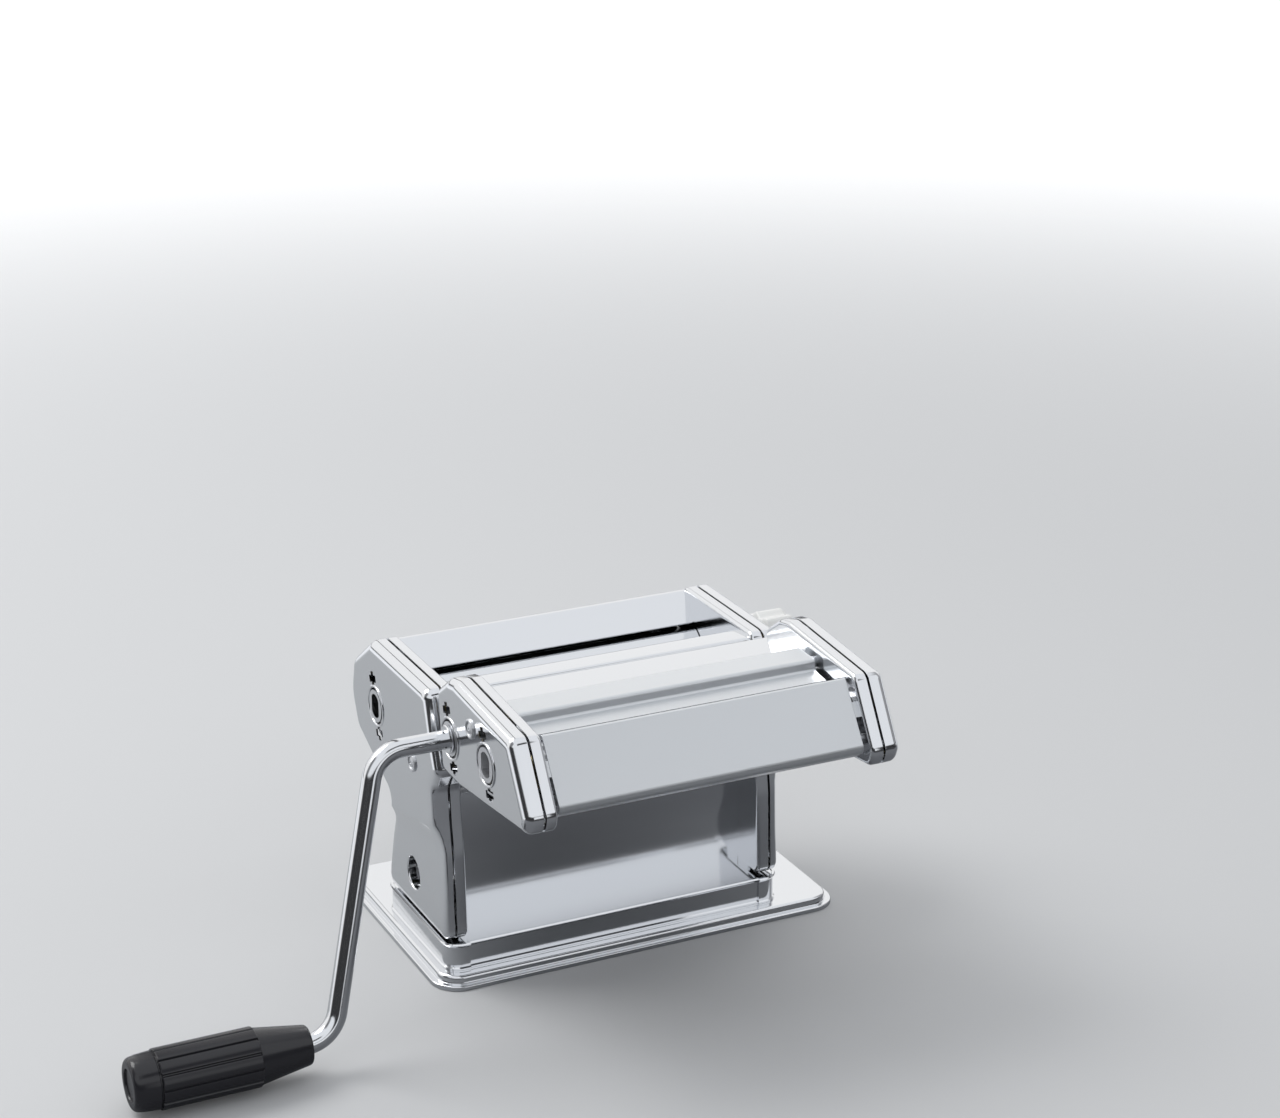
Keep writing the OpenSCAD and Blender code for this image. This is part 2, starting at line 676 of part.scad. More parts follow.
module knob() {
    skirt_r = knob_r - 3;
    wall = 2;
    hub_r = 8;
    hub_to = knob_x + 7;
    rib_from = knob_x + 4;
    end = knob_x + knob_l - 2;
    color(nylon) on_machine() {
        difference() {
            union() {
                turned(shaft_axis, [[0, knob_x], [skirt_r, knob_x], [skirt_r, knob_x + 3],
                                    [skirt_r - 2, rib_from], [skirt_r - 2, end], [0, end]]);
                on_axis(shaft_axis, rib_from) linear_extrude(end - rib_from)
                    polygon(ribbed(knob_ribs, knob_r, 2.4));
            }
            tube(shaft_axis, knob_x + wall, end + 1, hub_r, skirt_r - 2 - wall);
            disc(shaft_axis, hub_to, end + 1, skirt_r - 2 - wall);
            flat_disc(shaft_axis, knob_x - 1, hub_to + 1, knob_seat_r + 0.1, knob_seat_flat + 0.1);
        }
        disc(shaft_axis + [-index_pin_r, 0], index_x - 0.5, knob_x + 0.1, 0.9);
    }
}

module knob_cap() {
    r = knob_r - 2.4;
    from = knob_x + knob_l - 2;
    color(nylon) on_machine()
        turned(shaft_axis, [[0, from], [r, from], [r, from + 0.8], [r - 1.2, from + 2],
                            [r - 6, from + 2], [r - 8, from + 1.4], [0, from + 1.4]]);
}

// Coil spring as a tube of square-set points carried along its helix
module knob_spring() {
    turns = 3;
    wire = 0.6;
    coil_r = 6.4;
    from = knob_x + 7 + wire;
    to = shaft_end - wire;
    steps = turns * 20;
    sides = 8;
    points = [for (i = [0:steps]) let (a = 360 * turns * i / steps, x = from + (to - from) * i / steps)
        for (s = [0:sides - 1]) let (r = coil_r + wire * cos(360 * s / sides))
            [x + wire * sin(360 * s / sides), r * cos(a), r * sin(a)]];
    walls = [for (i = [0:steps - 1], s = [0:sides - 1])
        let (a = i * sides, b = a + sides, t = (s + 1) % sides)
        each [[a + s, a + t, b + t], [a + s, b + t, b + s]]];
    first = [for (s = [sides - 1:-1:0]) s];
    last = [for (s = [0:sides - 1]) steps * sides + s];
    color(satin) on_machine() translate([0, shaft_axis[0], shaft_axis[1]])
        polyhedron(points, concat(walls, [first, last]));
}

// ---- Cutter head: shell, plates and frames ----

cutter_rods = [[-70.5, 122.5], [-106.5, 149], [-151.5, 128.5]];
cutter_rod_r = 2.6;
cutter_end_r = 1.8;
cutter_nut_r = 3.3;
cutter_nut_l = 3;
cutter_rivets_at = [[-103.5, 145.9]];
drive_bush_r = 9;
idle_bush_r = 7.5;
back_guide_y = -63.2;
back_guide_path = [[back_guide_y, 114, 0], [back_guide_y, 147.5, 3], [-80, 145.4, 4], [-84.5, 142.6, 0]];
guide_bar_path = [[-93.8, 144.6, 0], [-98.3, 153.9, 2], [-114, 153.4, 2],
                  [-114.5, 148.4, 1.5], [-124.5, 147, 0]];
front_plate_path = [[-138.5, 152, 0], [-141, 155, 1.4], [-160.4, 126, 3.5], [-153, 121, 0]];
plate_half = 73.5;

module cutter_cover(sockets) {
    difference() {
        union() {
            cover_shell(cutter_outline, all_of(cutter_outline), full(cutter_outline));
            for (c = sockets) socket_rim(c);
        }
        for (c = sockets) socket_cut(c);
        for (c = cutter_rivets_at) disc(c, seam_half, outer_half, rivet_pin_r);
    }
}
module cutter_frame() {
    difference() {
        frame_tray(cutter_outline);
        for (c = [wide_axis, narrow_axis]) disc(c, inner_half - 1, frame_back + 1, drive_bush_r);
        for (c = [wide_idle_axis, narrow_idle_axis]) disc(c, inner_half - 1, frame_back + 1, idle_bush_r);
        rod_holes(cutter_rods, cutter_end_r + seat);
    }
}

module cutter_left_cover() { color(steel) on_machine() left_side() cutter_cover([wide_axis, narrow_axis]); }
module cutter_right_cover() { color(steel) on_machine() cutter_cover([]); }
module cutter_left_frame() { color(steel) on_machine() left_side() cutter_frame(); }
module cutter_right_frame() { color(steel) on_machine() cutter_frame(); }

module cutter_front_plate() {
    tab = [[-151.3, 139], [-147.4, 144.9], [-145.7, 143.7], [-149.6, 137.9]];
    color(alloy) on_machine() {
        across_x(plate_half) polygon(sheet(rounded(front_plate_path)));
        both_sides() along_x(plate_half - 1, inner_half) polygon(tab);
    }
}

module cutter_guide_bar() {
    end_cap = [[-95.6, 146], [-98.6, 153], [-113, 152.6], [-113.4, 147.6]];
    color(alloy) on_machine() {
        across_x(plate_half) polygon(sheet(rounded(guide_bar_path)));
        both_sides() difference() {
            along_x(plate_half - sheet_t, plate_half) polygon(end_cap);
            disc(cutter_rods[1], plate_half - 2, plate_half + 1, cutter_rod_r + seat);
        }
    }
}

module cutter_back_guide() {
    color(steel) on_machine() across_x(inner_half) polygon(sheet(rounded(back_guide_path)));
}

module cutter_tie_rods() {
    color(satin) on_machine() rod_set(cutter_rods, cutter_rod_r, cutter_end_r, cutter_nut_l + 1.7);
}
module cutter_nuts() {
    color(satin) on_machine() nut_set(cutter_rods, cutter_end_r, cutter_nut_r, cutter_nut_l);
}
module cutter_rivets() {
    color(satin) on_machine() both_sides() for (c = cutter_rivets_at) rivet(c, outer_half);
}
module cutter_bushings() {
    color(brass) on_machine() both_sides() {
        for (c = [wide_axis, narrow_axis])
            tube(c, inner_half, bushing_to, journal_r + play, drive_bush_r - seat);
        for (c = [wide_idle_axis, narrow_idle_axis])
            tube(c, inner_half, bushing_to, idle_r + play, idle_bush_r - seat);
    }
}

// ---- Cutting rollers: rings of one roller run in the grooves of the other ----

ring_half = 73;         // the rings keep within this half length
core_half = 74.9;

// Comb profile [radius, x] with rings of the width w at the pitch p, one of them at the place x0
function ring_profile(p, w, x0) =
    let (n = floor((ring_half - w / 2 + x0) / p), m = floor((ring_half - w / 2 - x0) / p))
    [for (k = [-n:m]) let (x = x0 + k * p)
        each [[core_r, x - w / 2], [ring_r, x - w / 2], [ring_r, x + w / 2], [core_r, x + w / 2]]];

module ring_roller(c, p, side, x0) {
    w = p / 2 - side;
    turned(c, concat([[0, -core_half], [core_r, -core_half]], ring_profile(p, w, x0),
                     [[core_r, core_half], [0, core_half]]));
}
module drive_cutter(c, p, side) {
    ring_roller(c, p, side, 0);
    disc(c, core_half - 1, bushing_to + 0.6, journal_r);
    drive_end(c);
}
module idle_cutter(c, p, side) {
    ring_roller(c, p, side, p / 2);
    disc(c, -cutter_gear_x - cutter_gear_w, bushing_to + 0.6, idle_r);
}

module wide_drive_roller() {
    color(alloy) on_machine() drive_cutter(wide_axis, wide_pitch, wide_side);
}
module wide_idle_roller() {
    color(alloy) on_machine() idle_cutter(wide_idle_axis, wide_pitch, wide_side);
}
module narrow_drive_roller() {
    color(alloy) on_machine() drive_cutter(narrow_axis, narrow_pitch, narrow_side);
}
module narrow_idle_roller() {
    color(alloy) on_machine() idle_cutter(narrow_idle_axis, narrow_pitch, narrow_side);
}

toward = direction(tilt_dir);
away = toward + 180 + 180 / cutter_teeth;
module wide_drive_gear() { color(satin) on_machine() cutter_gear(wide_axis, toward, journal_r); }
module wide_idle_gear() { color(satin) on_machine() cutter_gear(wide_idle_axis, away, idle_r); }
module narrow_drive_gear() { color(satin) on_machine() cutter_gear(narrow_axis, toward, journal_r); }
module narrow_idle_gear() { color(satin) on_machine() cutter_gear(narrow_idle_axis, away, idle_r); }

// Stripping comb under a roller: a bar whose prongs stand in the roller's grooves
module comb(c, lean, p, w, x0) {
    reach = core_r + 0.5;
    bar_from = ring_r + 3.4;
    bar_t = 3;
    n = floor((ring_half + x0) / p);
    m = floor((ring_half - x0) / p);
    translate([0, c[0], c[1]]) rotate([lean, 0, 0]) {
        translate([-inner_half, -bar_t / 2, -bar_from - bar_t]) cube([2 * inner_half, bar_t, bar_t]);
        for (k = [-n:m]) translate([x0 + k * p - w / 2, -1, -bar_from - 1])
            cube([w, 2, bar_from + 1 - reach]);
    }
}
comb_lean = 16;

module comb_pair(drive, idle, p, w) {
    comb(drive, comb_lean, p, w, p / 2);
    comb(idle, -comb_lean, p, w, 0);
}
module wide_combs() {
    w = wide_pitch / 2 - 0.8;
    color(satin) on_machine() comb_pair(wide_axis, wide_idle_axis, wide_pitch, w);
}
module narrow_combs() {
    w = narrow_pitch / 2 - 0.5;
    color(satin) on_machine() comb_pair(narrow_axis, narrow_idle_axis, narrow_pitch, w);
}

// ---- Crank ----

plug_r = drive_r - 0.1;
plug_flat = drive_flat - 0.1;
collar_r = 6.6;
grip_from = -172;       // end of the grip nearest the machine
grip_land_from = -196;
grip_land_to = -240;
grip_turn = 27;         // angle of the first groove
grip_to = -252;
grip_bore = rod_r + 0.1;

crank_start = outer_half + 0.7;         // where the rod leaves its collar
crank_out = -bend_x - crank_start;      // from there to the upper corner
crank_over = bend_x - grip_x;           // how far the arm leans out on its way down
crank_arm = norm([grip_y - wide_axis[0], grip_z - wide_axis[1]]);
crank_lean = atan2(crank_arm, crank_over);
crank_tilt = atan2(wide_axis[1] - grip_z, wide_axis[0] - grip_y);
grip_end = -grip_to - 5 - crank_start;  // end of the rod inside the grip

// Straight rod in the crank's plane, from a in the direction of the angle turn
module bar(a, turn, l, r) { translate(a) rotate(turn) rotate([0, 90, 0]) cylinder(r = r, h = l); }
// Bent rod in the crank's plane round the centre c, from the angle start through the angle turn
module bend(c, start, turn, bend_r, r) {
    translate(c) rotate(start) rotate_extrude(angle = turn) translate([bend_r, 0]) circle(r);
}

module crank_rod() {
    set_top = rod_bend_top * tan(crank_lean / 2);
    set_low = rod_bend_low * tan(crank_lean / 2);
    ahead = [cos(crank_lean), sin(crank_lean)];
    aside = [sin(crank_lean), -cos(crank_lean)];
    top = [crank_out, 0];
    low = [crank_out + crank_over, crank_arm];
    color(steel) on_machine() {
        left_side() flat_disc(wide_axis, 78, outer_half + 1, plug_r, plug_flat);
        left_side() disc(wide_axis, crank_start, crank_start + 1.5, collar_r);
        translate([-crank_start, wide_axis[0], wide_axis[1]]) rotate([crank_tilt, 0, 0]) rotate(180) {
            bar([0, 0], 0, crank_out - set_top, rod_r);
            bend([crank_out - set_top, rod_bend_top], -90, crank_lean, rod_bend_top, rod_r);
            bar(top + set_top * ahead, crank_lean, norm(low - top) - set_top - set_low, rod_r);
            bend(low - set_low * ahead + rod_bend_low * aside, 90, crank_lean, rod_bend_low, rod_r);
            bar(low + [set_low, 0], 0, grip_end - low[0] - set_low, rod_r);
        }
    }
}

// Round outline with n lands between narrow grooves of the width w and the depth d
function grooved(n, r, w, d) = let (wall = w / r * 90 / PI, bottom = wall / 2)
    [for (k = [0:n - 1]) let (a = grip_turn + 360 * k / n, land = 360 / n - 2 * wall) each concat(
        [for (i = [0:3]) let (t = a + wall + land * i / 3) r * [cos(t), sin(t)]],
        [for (t = [a + 360 / n - bottom, a + 360 / n + bottom]) (r - d) * [cos(t), sin(t)]])];

module crank_grip() {
    c = [grip_y, grip_z];
    neck = grip_r - 0.7;                // end of the cone where the lands start
    color(black) on_machine() difference() {
        union() {
            turned(c, [[0, grip_from], [8.3, grip_from], [8.9, grip_from - 0.6], [neck, grip_land_from],
                       [0, grip_land_from]]);
            on_axis(c, grip_land_to) linear_extrude(grip_land_from - grip_land_to)
                polygon(grooved(grip_lands, grip_r, 1.4, 1));
        }
        disc(c, grip_land_to - 1, grip_from + 1, grip_bore);
        disc(c, grip_land_to - 1, grip_land_to + 6, 8);
    }
}

module grip_ring() {
    color(satin) on_machine() tube([grip_y, grip_z], grip_land_to + 3.4, grip_land_to + 4.4, rod_r + seat, 7);
}

module grip_cap() {
    c = [grip_y, grip_z];
    x = grip_land_to;
    r = grip_r - 0.6;
    color(black) on_machine() difference() {
        turned(c, [[0, x], [r - 0.8, x], [r - 0.8, x - 0.7], [r, x - 0.9], [r - 0.4, x - 7],
                   [11.4, grip_to + 1.4], [10.2, grip_to + 0.3], [9.4, grip_to],
                   [7.4, grip_to], [7, grip_to + 0.7], [0, grip_to + 0.7]]);
        disc(c, grip_to + 4, x + 1, grip_bore + 0.4);
    }
}

base_plate();
base_feet();
pedestal();
left_cover();
right_cover();
left_frame();
right_frame();
front_panel();
exit_chute();
front_guide();
rear_guide();
cutter_rails();
body_tie_rods();
body_nuts();
body_rivets();
body_bushings();
front_scraper();
rear_scraper();
fixed_roller();
fixed_gear();
adjustable_roller();
adjustable_gear();
left_bearing_block();
right_bearing_block();
adjuster_shaft();
knob_bearing();
knob();
knob_spring();
knob_cap();
cutter_left_cover();
cutter_right_cover();
cutter_left_frame();
cutter_right_frame();
cutter_front_plate();
cutter_guide_bar();
cutter_back_guide();
cutter_hooks();
cutter_tie_rods();
cutter_nuts();
cutter_rivets();
cutter_bushings();
wide_combs();
narrow_combs();
wide_drive_roller();
wide_idle_roller();
narrow_drive_roller();
narrow_idle_roller();
wide_drive_gear();
wide_idle_gear();
narrow_drive_gear();
narrow_idle_gear();
crank_rod();
crank_grip();
grip_ring();
grip_cap();
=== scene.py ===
"""Looks of a hand-cranked pasta roller machine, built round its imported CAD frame.

Sizes in the classes are millimetres in the machine's own frame: x along the rollers from the machine's
middle, y away from the cutter head, z up from the table. One scale turns them into Blender's metres.
"""

from __future__ import annotations

import json
import logging
import math
from dataclasses import dataclass
from enum import Enum
from functools import reduce
from operator import mul
from typing import Callable, Optional, Sequence

import bmesh
import bpy
import numpy as np
from mathutils import Matrix, Vector
from mathutils.geometry import delaunay_2d_cdt

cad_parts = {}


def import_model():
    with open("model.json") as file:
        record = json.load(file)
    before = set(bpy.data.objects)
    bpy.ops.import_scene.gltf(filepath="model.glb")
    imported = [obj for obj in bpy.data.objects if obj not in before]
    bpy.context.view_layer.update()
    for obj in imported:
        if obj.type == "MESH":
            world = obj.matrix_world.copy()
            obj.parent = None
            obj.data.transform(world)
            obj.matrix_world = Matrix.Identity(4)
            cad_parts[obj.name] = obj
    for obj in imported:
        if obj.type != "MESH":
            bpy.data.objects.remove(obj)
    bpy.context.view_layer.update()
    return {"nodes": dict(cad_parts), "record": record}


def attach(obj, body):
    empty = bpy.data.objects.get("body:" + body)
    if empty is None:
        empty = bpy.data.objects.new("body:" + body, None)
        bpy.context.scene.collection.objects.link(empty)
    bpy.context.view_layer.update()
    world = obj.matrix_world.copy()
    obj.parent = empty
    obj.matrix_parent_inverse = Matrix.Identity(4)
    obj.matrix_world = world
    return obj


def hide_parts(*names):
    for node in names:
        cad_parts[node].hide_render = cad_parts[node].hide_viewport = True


log = logging.getLogger("pasta_machine")

MM = 0.001
MACHINE_X = -11.0  # x of the machine's middle in the shared frame

Colour = tuple[float, float, float]
Pair = tuple[float, float]
Corner = tuple[float, float, float]  # y, z and radius of a rounded corner
Place = tuple[float, float, float]
Points = tuple[Pair, ...]
Corners = tuple[Corner, ...]
Field = Callable[[np.ndarray], np.ndarray]  # one value for each row of points


# ---------------- shader maths


class Value:
    """A number or colour that flows from one socket, with arithmetic that adds Math nodes."""

    def __init__(self, graph: "Graph", socket: bpy.types.NodeSocket) -> None:
        """Keeps the graph and the socket that the value comes from."""
        self.graph = graph
        self.socket = socket

    def _math(self, operation: str, first: object, second: object) -> "Value":
        """The result of a Math node with two operands, each a Value or a number."""
        made = self.graph.node("ShaderNodeMath", {"operation": operation}, {0: first, 1: second})
        return Value(self.graph, made.outputs[0])

    def __add__(self, other: object) -> "Value":
        """The sum of two values."""
        return self._math("ADD", self, other)

    def __rsub__(self, other: object) -> "Value":
        """A number less this value."""
        return self._math("SUBTRACT", other, self)

    def __mul__(self, other: object) -> "Value":
        """The product of two values."""
        return self._math("MULTIPLY", self, other)

    def turn_from(self, other: "Value") -> "Value":
        """The angle whose tangent is this value over another, in degrees."""
        return self._math("ARCTAN2", self, other) * (180.0 / math.pi)

    def step(self, low: float, high: float) -> "Value":
        """0 below low, 1 above high and a smooth rise between them."""
        made = self.graph.node(
            "ShaderNodeMapRange",
            {"interpolation_type": "SMOOTHSTEP"},
            {"Value": self, "From Min": low, "From Max": high},
        )
        return Value(self.graph, made.outputs[0])

    def fall(self, low: float, high: float) -> "Value":
        """1 below low, 0 above high and a smooth fall between them."""
        return 1.0 - self.step(low, high)

    def band(self, low: float, high: float, soft: float) -> "Value":
        """1 from low to high and 0 outside, with ends as wide as twice the softness."""
        return self.step(low - soft, low + soft) * self.fall(high - soft, high + soft)


@dataclass(frozen=True)
class Fractal:
    """A fractal noise: its frequency per metre, its octaves and how strong the finer ones are."""

    scale: float
    octaves: float = 2.0
    rough: float = 0.5


class Graph:
    """The node tree of one material or of the world."""

    def __init__(self, owner: bpy.types.Material | bpy.types.World) -> None:
        """Gives the owner an empty tree."""
        owner.use_nodes = True
        self.tree = owner.node_tree
        self.tree.nodes.clear()

    def node(
        self, kind: str, settings: Optional[dict] = None, inputs: Optional[dict] = None
    ) -> bpy.types.Node:
        """Makes one node.

        Args:
            kind: the node's type name.
            settings: attributes that are set first.
            inputs: socket names or places with the values or links they get.

        Returns:
            The node.
        """
        made = self.tree.nodes.new(kind)
        for name, value in (settings or {}).items():
            setattr(made, name, value)
        for name, value in (inputs or {}).items():
            socket = made.inputs[name]
            if isinstance(value, Value):
                self.tree.links.new(value.socket, socket)
            elif isinstance(value, bpy.types.NodeSocket):
                self.tree.links.new(value, socket)
            elif socket.type == "RGBA":
                socket.default_value = (*value, 1.0)
            else:
                socket.default_value = value
        return made

    def axes(self, coordinates: str) -> list[Value]:
        """The three parts of one of the coordinates that Blender gives."""
        vector = self.node("ShaderNodeTexCoord").outputs[coordinates]
        parts = self.node("ShaderNodeSeparateXYZ", {}, {0: vector})
        return [Value(self, output) for output in parts.outputs]

    def noise(self, kind: Fractal, stretch: Place = (1.0, 1.0, 1.0)) -> Value:
        """Fractal noise between 0 and 1 over the object's own coordinates.

        Args:
            kind: which noise it is.
            stretch: factor on the coordinates along each axis.

        Returns:
            The noise.
        """
        place = self.node("ShaderNodeTexCoord").outputs["Object"]
        coords = self.node("ShaderNodeMapping", {}, {"Vector": place, "Scale": stretch}).outputs[0]
        made = self.node(
            "ShaderNodeTexNoise",
            {},
            {"Vector": coords, "Scale": kind.scale, "Detail": kind.octaves, "Roughness": kind.rough},
        )
        return Value(self, made.outputs[0])

    def mix(self, factor: object, first: object, second: object) -> Value:
        """A blend of two colours, from the first at a factor of 0 to the second at 1."""
        made = self.node("ShaderNodeMix", {"data_type": "RGBA"}, {0: factor, 6: first, 7: second})
        return Value(self, made.outputs[2])

    def bump(self, height: Value, distance: float) -> Value:
        """A normal that follows a height between 0 and 1, where 1 stands for a distance in metres."""
        made = self.node("ShaderNodeBump", {}, {"Height": height, "Distance": distance, "Strength": 1.0})
        return Value(self, made.outputs[0])

    def surface(self, **sockets: object) -> None:
        """Ends the tree in a Principled shader.

        Args:
            sockets: its inputs, with underscores for spaces.
        """
        inputs = {name.replace("_", " "): value for name, value in sockets.items()}
        shader = self.node("ShaderNodeBsdfPrincipled", {}, inputs)
        self.node("ShaderNodeOutputMaterial", {}, {"Surface": shader.outputs[0]})


# ---------------- finishes


class Grain(Enum):
    """Which way a finish's fine lines run: how often they change in a metre along each axis."""

    ALONG_X = (6.0, 900.0, 900.0)
    ROUND_X = (1400.0, 8.0, 8.0)
    NONE = (220.0, 220.0, 220.0)


@dataclass(frozen=True)
class MetalFinish:
    """A bare or plated metal with fine lines, faint smears and its own gloss."""

    name: str
    colour: Colour
    rough_from: float
    rough_to: float
    grain: Grain
    line_height: float
    line_share: float = 0.5
    lines: Fractal = Fractal(1.0, 3.0, 0.6)
    smears: Fractal = Fractal(26.0, 4.0, 0.55)
    smear_edge: Pair = (0.42, 0.72)
    smear_shade: float = 0.94
    smear_tint: float = 0.6

    def build(self) -> bpy.types.Material:
        """Makes the material.

        Returns:
            The material. It is rougher and darker in the smears, and rougher along the raised lines.
        """
        made = bpy.data.materials.new(self.name)
        g = Graph(made)
        lines = g.noise(self.lines, self.grain.value)
        smear = g.noise(self.smears).step(*self.smear_edge)
        by_lines = (self.rough_to - self.rough_from) * self.line_share
        by_smear = self.rough_to - self.rough_from - by_lines
        darker = tuple(self.smear_shade * c for c in self.colour)
        g.surface(
            Base_Color=g.mix(smear * self.smear_tint, self.colour, darker),
            Metallic=1.0,
            Roughness=smear * by_smear + lines * by_lines + self.rough_from,
            Normal=g.bump(lines, self.line_height),
        )
        return made


@dataclass(frozen=True)
class PlasticFinish:
    """A moulded plastic or rubber with a fine skin texture."""

    name: str
    colour: Colour
    rough: float
    skin_height: float
    skin: Fractal
    coat: float = 0.0
    coat_rough: float = 0.12
    wear: Fractal = Fractal(40.0, 3.0)
    wear_edge: Pair = (0.4, 0.75)
    wear_gain: float = 1.15
    wear_lift: float = 0.006
    wear_rough: float = 0.08

    def build(self) -> bpy.types.Material:
        """Makes the material.

        Returns:
            The material: a fine pebbled skin, faint colour changes and, where asked, a clear gloss on top.
        """
        made = bpy.data.materials.new(self.name)
        g = Graph(made)
        skin = g.noise(self.skin)
        wear = g.noise(self.wear).step(*self.wear_edge)
        lighter = tuple(min(1.0, self.wear_gain * c + self.wear_lift) for c in self.colour)
        g.surface(
            Base_Color=g.mix(wear, self.colour, lighter),
            Roughness=wear * self.wear_rough + self.rough,
            Coat_Weight=self.coat,
            Coat_Roughness=self.coat_rough,
            Normal=g.bump(skin, self.skin_height),
        )
        return made


class Finish(Enum):
    """Every finish on the machine, under the name of its slot in the record."""

    MIRROR_STEEL = MetalFinish("mirror_steel", (0.86, 0.87, 0.885), 0.05, 0.12, Grain.NONE, 8e-7, 0.3)
    SATIN_STEEL = MetalFinish("satin_steel", (0.62, 0.63, 0.65), 0.26, 0.40, Grain.NONE, 3e-6)
    SATIN_ALUMINIUM = MetalFinish("satin_aluminium", (0.80, 0.82, 0.85), 0.30, 0.42, Grain.ALONG_X, 3e-6)
    CUTTER_ALUMINIUM = MetalFinish("cutter_aluminium", (0.70, 0.71, 0.73), 0.22, 0.34, Grain.ROUND_X, 4e-6)
    BEARING_BRASS = MetalFinish("bearing_brass", (0.78, 0.62, 0.30), 0.25, 0.38, Grain.ROUND_X, 3e-6)
    BLACK_RUBBER = PlasticFinish("black_rubber", (0.018, 0.018, 0.018), 0.65, 2e-5, Fractal(1500.0))
    BLACK_PLASTIC = PlasticFinish("black_plastic", (0.012, 0.012, 0.013), 0.22, 4e-6, Fractal(2200.0), 0.3)
    PALE_PLASTIC = PlasticFinish("pale_plastic", (0.70, 0.70, 0.69), 0.28, 6e-6, Fractal(1800.0), 0.2)

    def material(self) -> bpy.types.Material:
        """The finish's material, made the first time it is asked for."""
        return bpy.data.materials.get(self.value.name) or self.value.build()


# ---------------- studio


def placed(name: str, data: bpy.types.ID) -> bpy.types.Object:
    """A new object with a mesh, a lamp or a camera as its data, put in the scene.

    Args:
        name: its name.
        data: its data.

    Returns:
        The object.
    """
    made = bpy.data.objects.new(name, data)
    bpy.context.scene.collection.objects.link(made)
    return made


@dataclass(frozen=True)
class Area:
    """An area of the sky, laid over the ones before it.

    An edge with two numbers is a rise, or a fall if the first is the larger one, and an edge with three is
    a band with its softness. The turn is in degrees from the left toward the front, and the other
    directions are parts of a unit vector.
    """

    name: str
    colour: Colour
    edges: dict[str, tuple[float, ...]]

    def share(self, ways: dict[str, Value]) -> Value:
        """How much of what is seen each way belongs to the area: the product of its edges.

        Args:
            ways: the directions by name.

        Returns:
            A share from 0 to 1.
        """
        made = []
        for name, ends in self.edges.items():
            way = ways[name]
            if len(ends) == 3:
                made.append(way.band(*ends))
            else:
                made.append(way.step(*ends) if ends[0] < ends[1] else way.fall(*ends[::-1]))
        return reduce(mul, made)


WHITE = (1.0, 1.0, 1.0)
BRIGHT = (0.88, 0.90, 0.93)
DARK = (0.04, 0.04, 0.042)

SKY = (
    Area("left wall", (0.22, 0.225, 0.235), {"left": (0.50, 0.70)}),
    Area("high window in front", BRIGHT, {"front": (0.15, 0.30), "up": (0.34, 0.40)}),
    Area("wall behind", WHITE, {"back": (0.15, 0.35)}),
    Area("ceiling", BRIGHT, {"up": (0.80, 0.86)}),
    Area("dark room in front", DARK, {"turn": (-8.0, 160.0, 6.0), "up": (0.37, 0.32)}),
    Area("dark bar over the window", DARK, {"turn": (82.0, 127.0, 2.0), "up": (0.70, 0.84, 0.02)}),
    Area("bright strip in front", BRIGHT, {"turn": (93.0, 114.0, 2.0), "up": (0.03, 0.31, 0.02)}),
    Area("post behind", (0.12, 0.12, 0.125), {"back": (0.30, 0.40), "right": (0.135, 0.225, 0.015)}),
    Area(
        "skirting behind",
        (0.08, 0.08, 0.085),
        {"up": (0.09, 0.03), "left": (0.84, 0.70), "back": (-0.1, 0.1)},
    ),
)


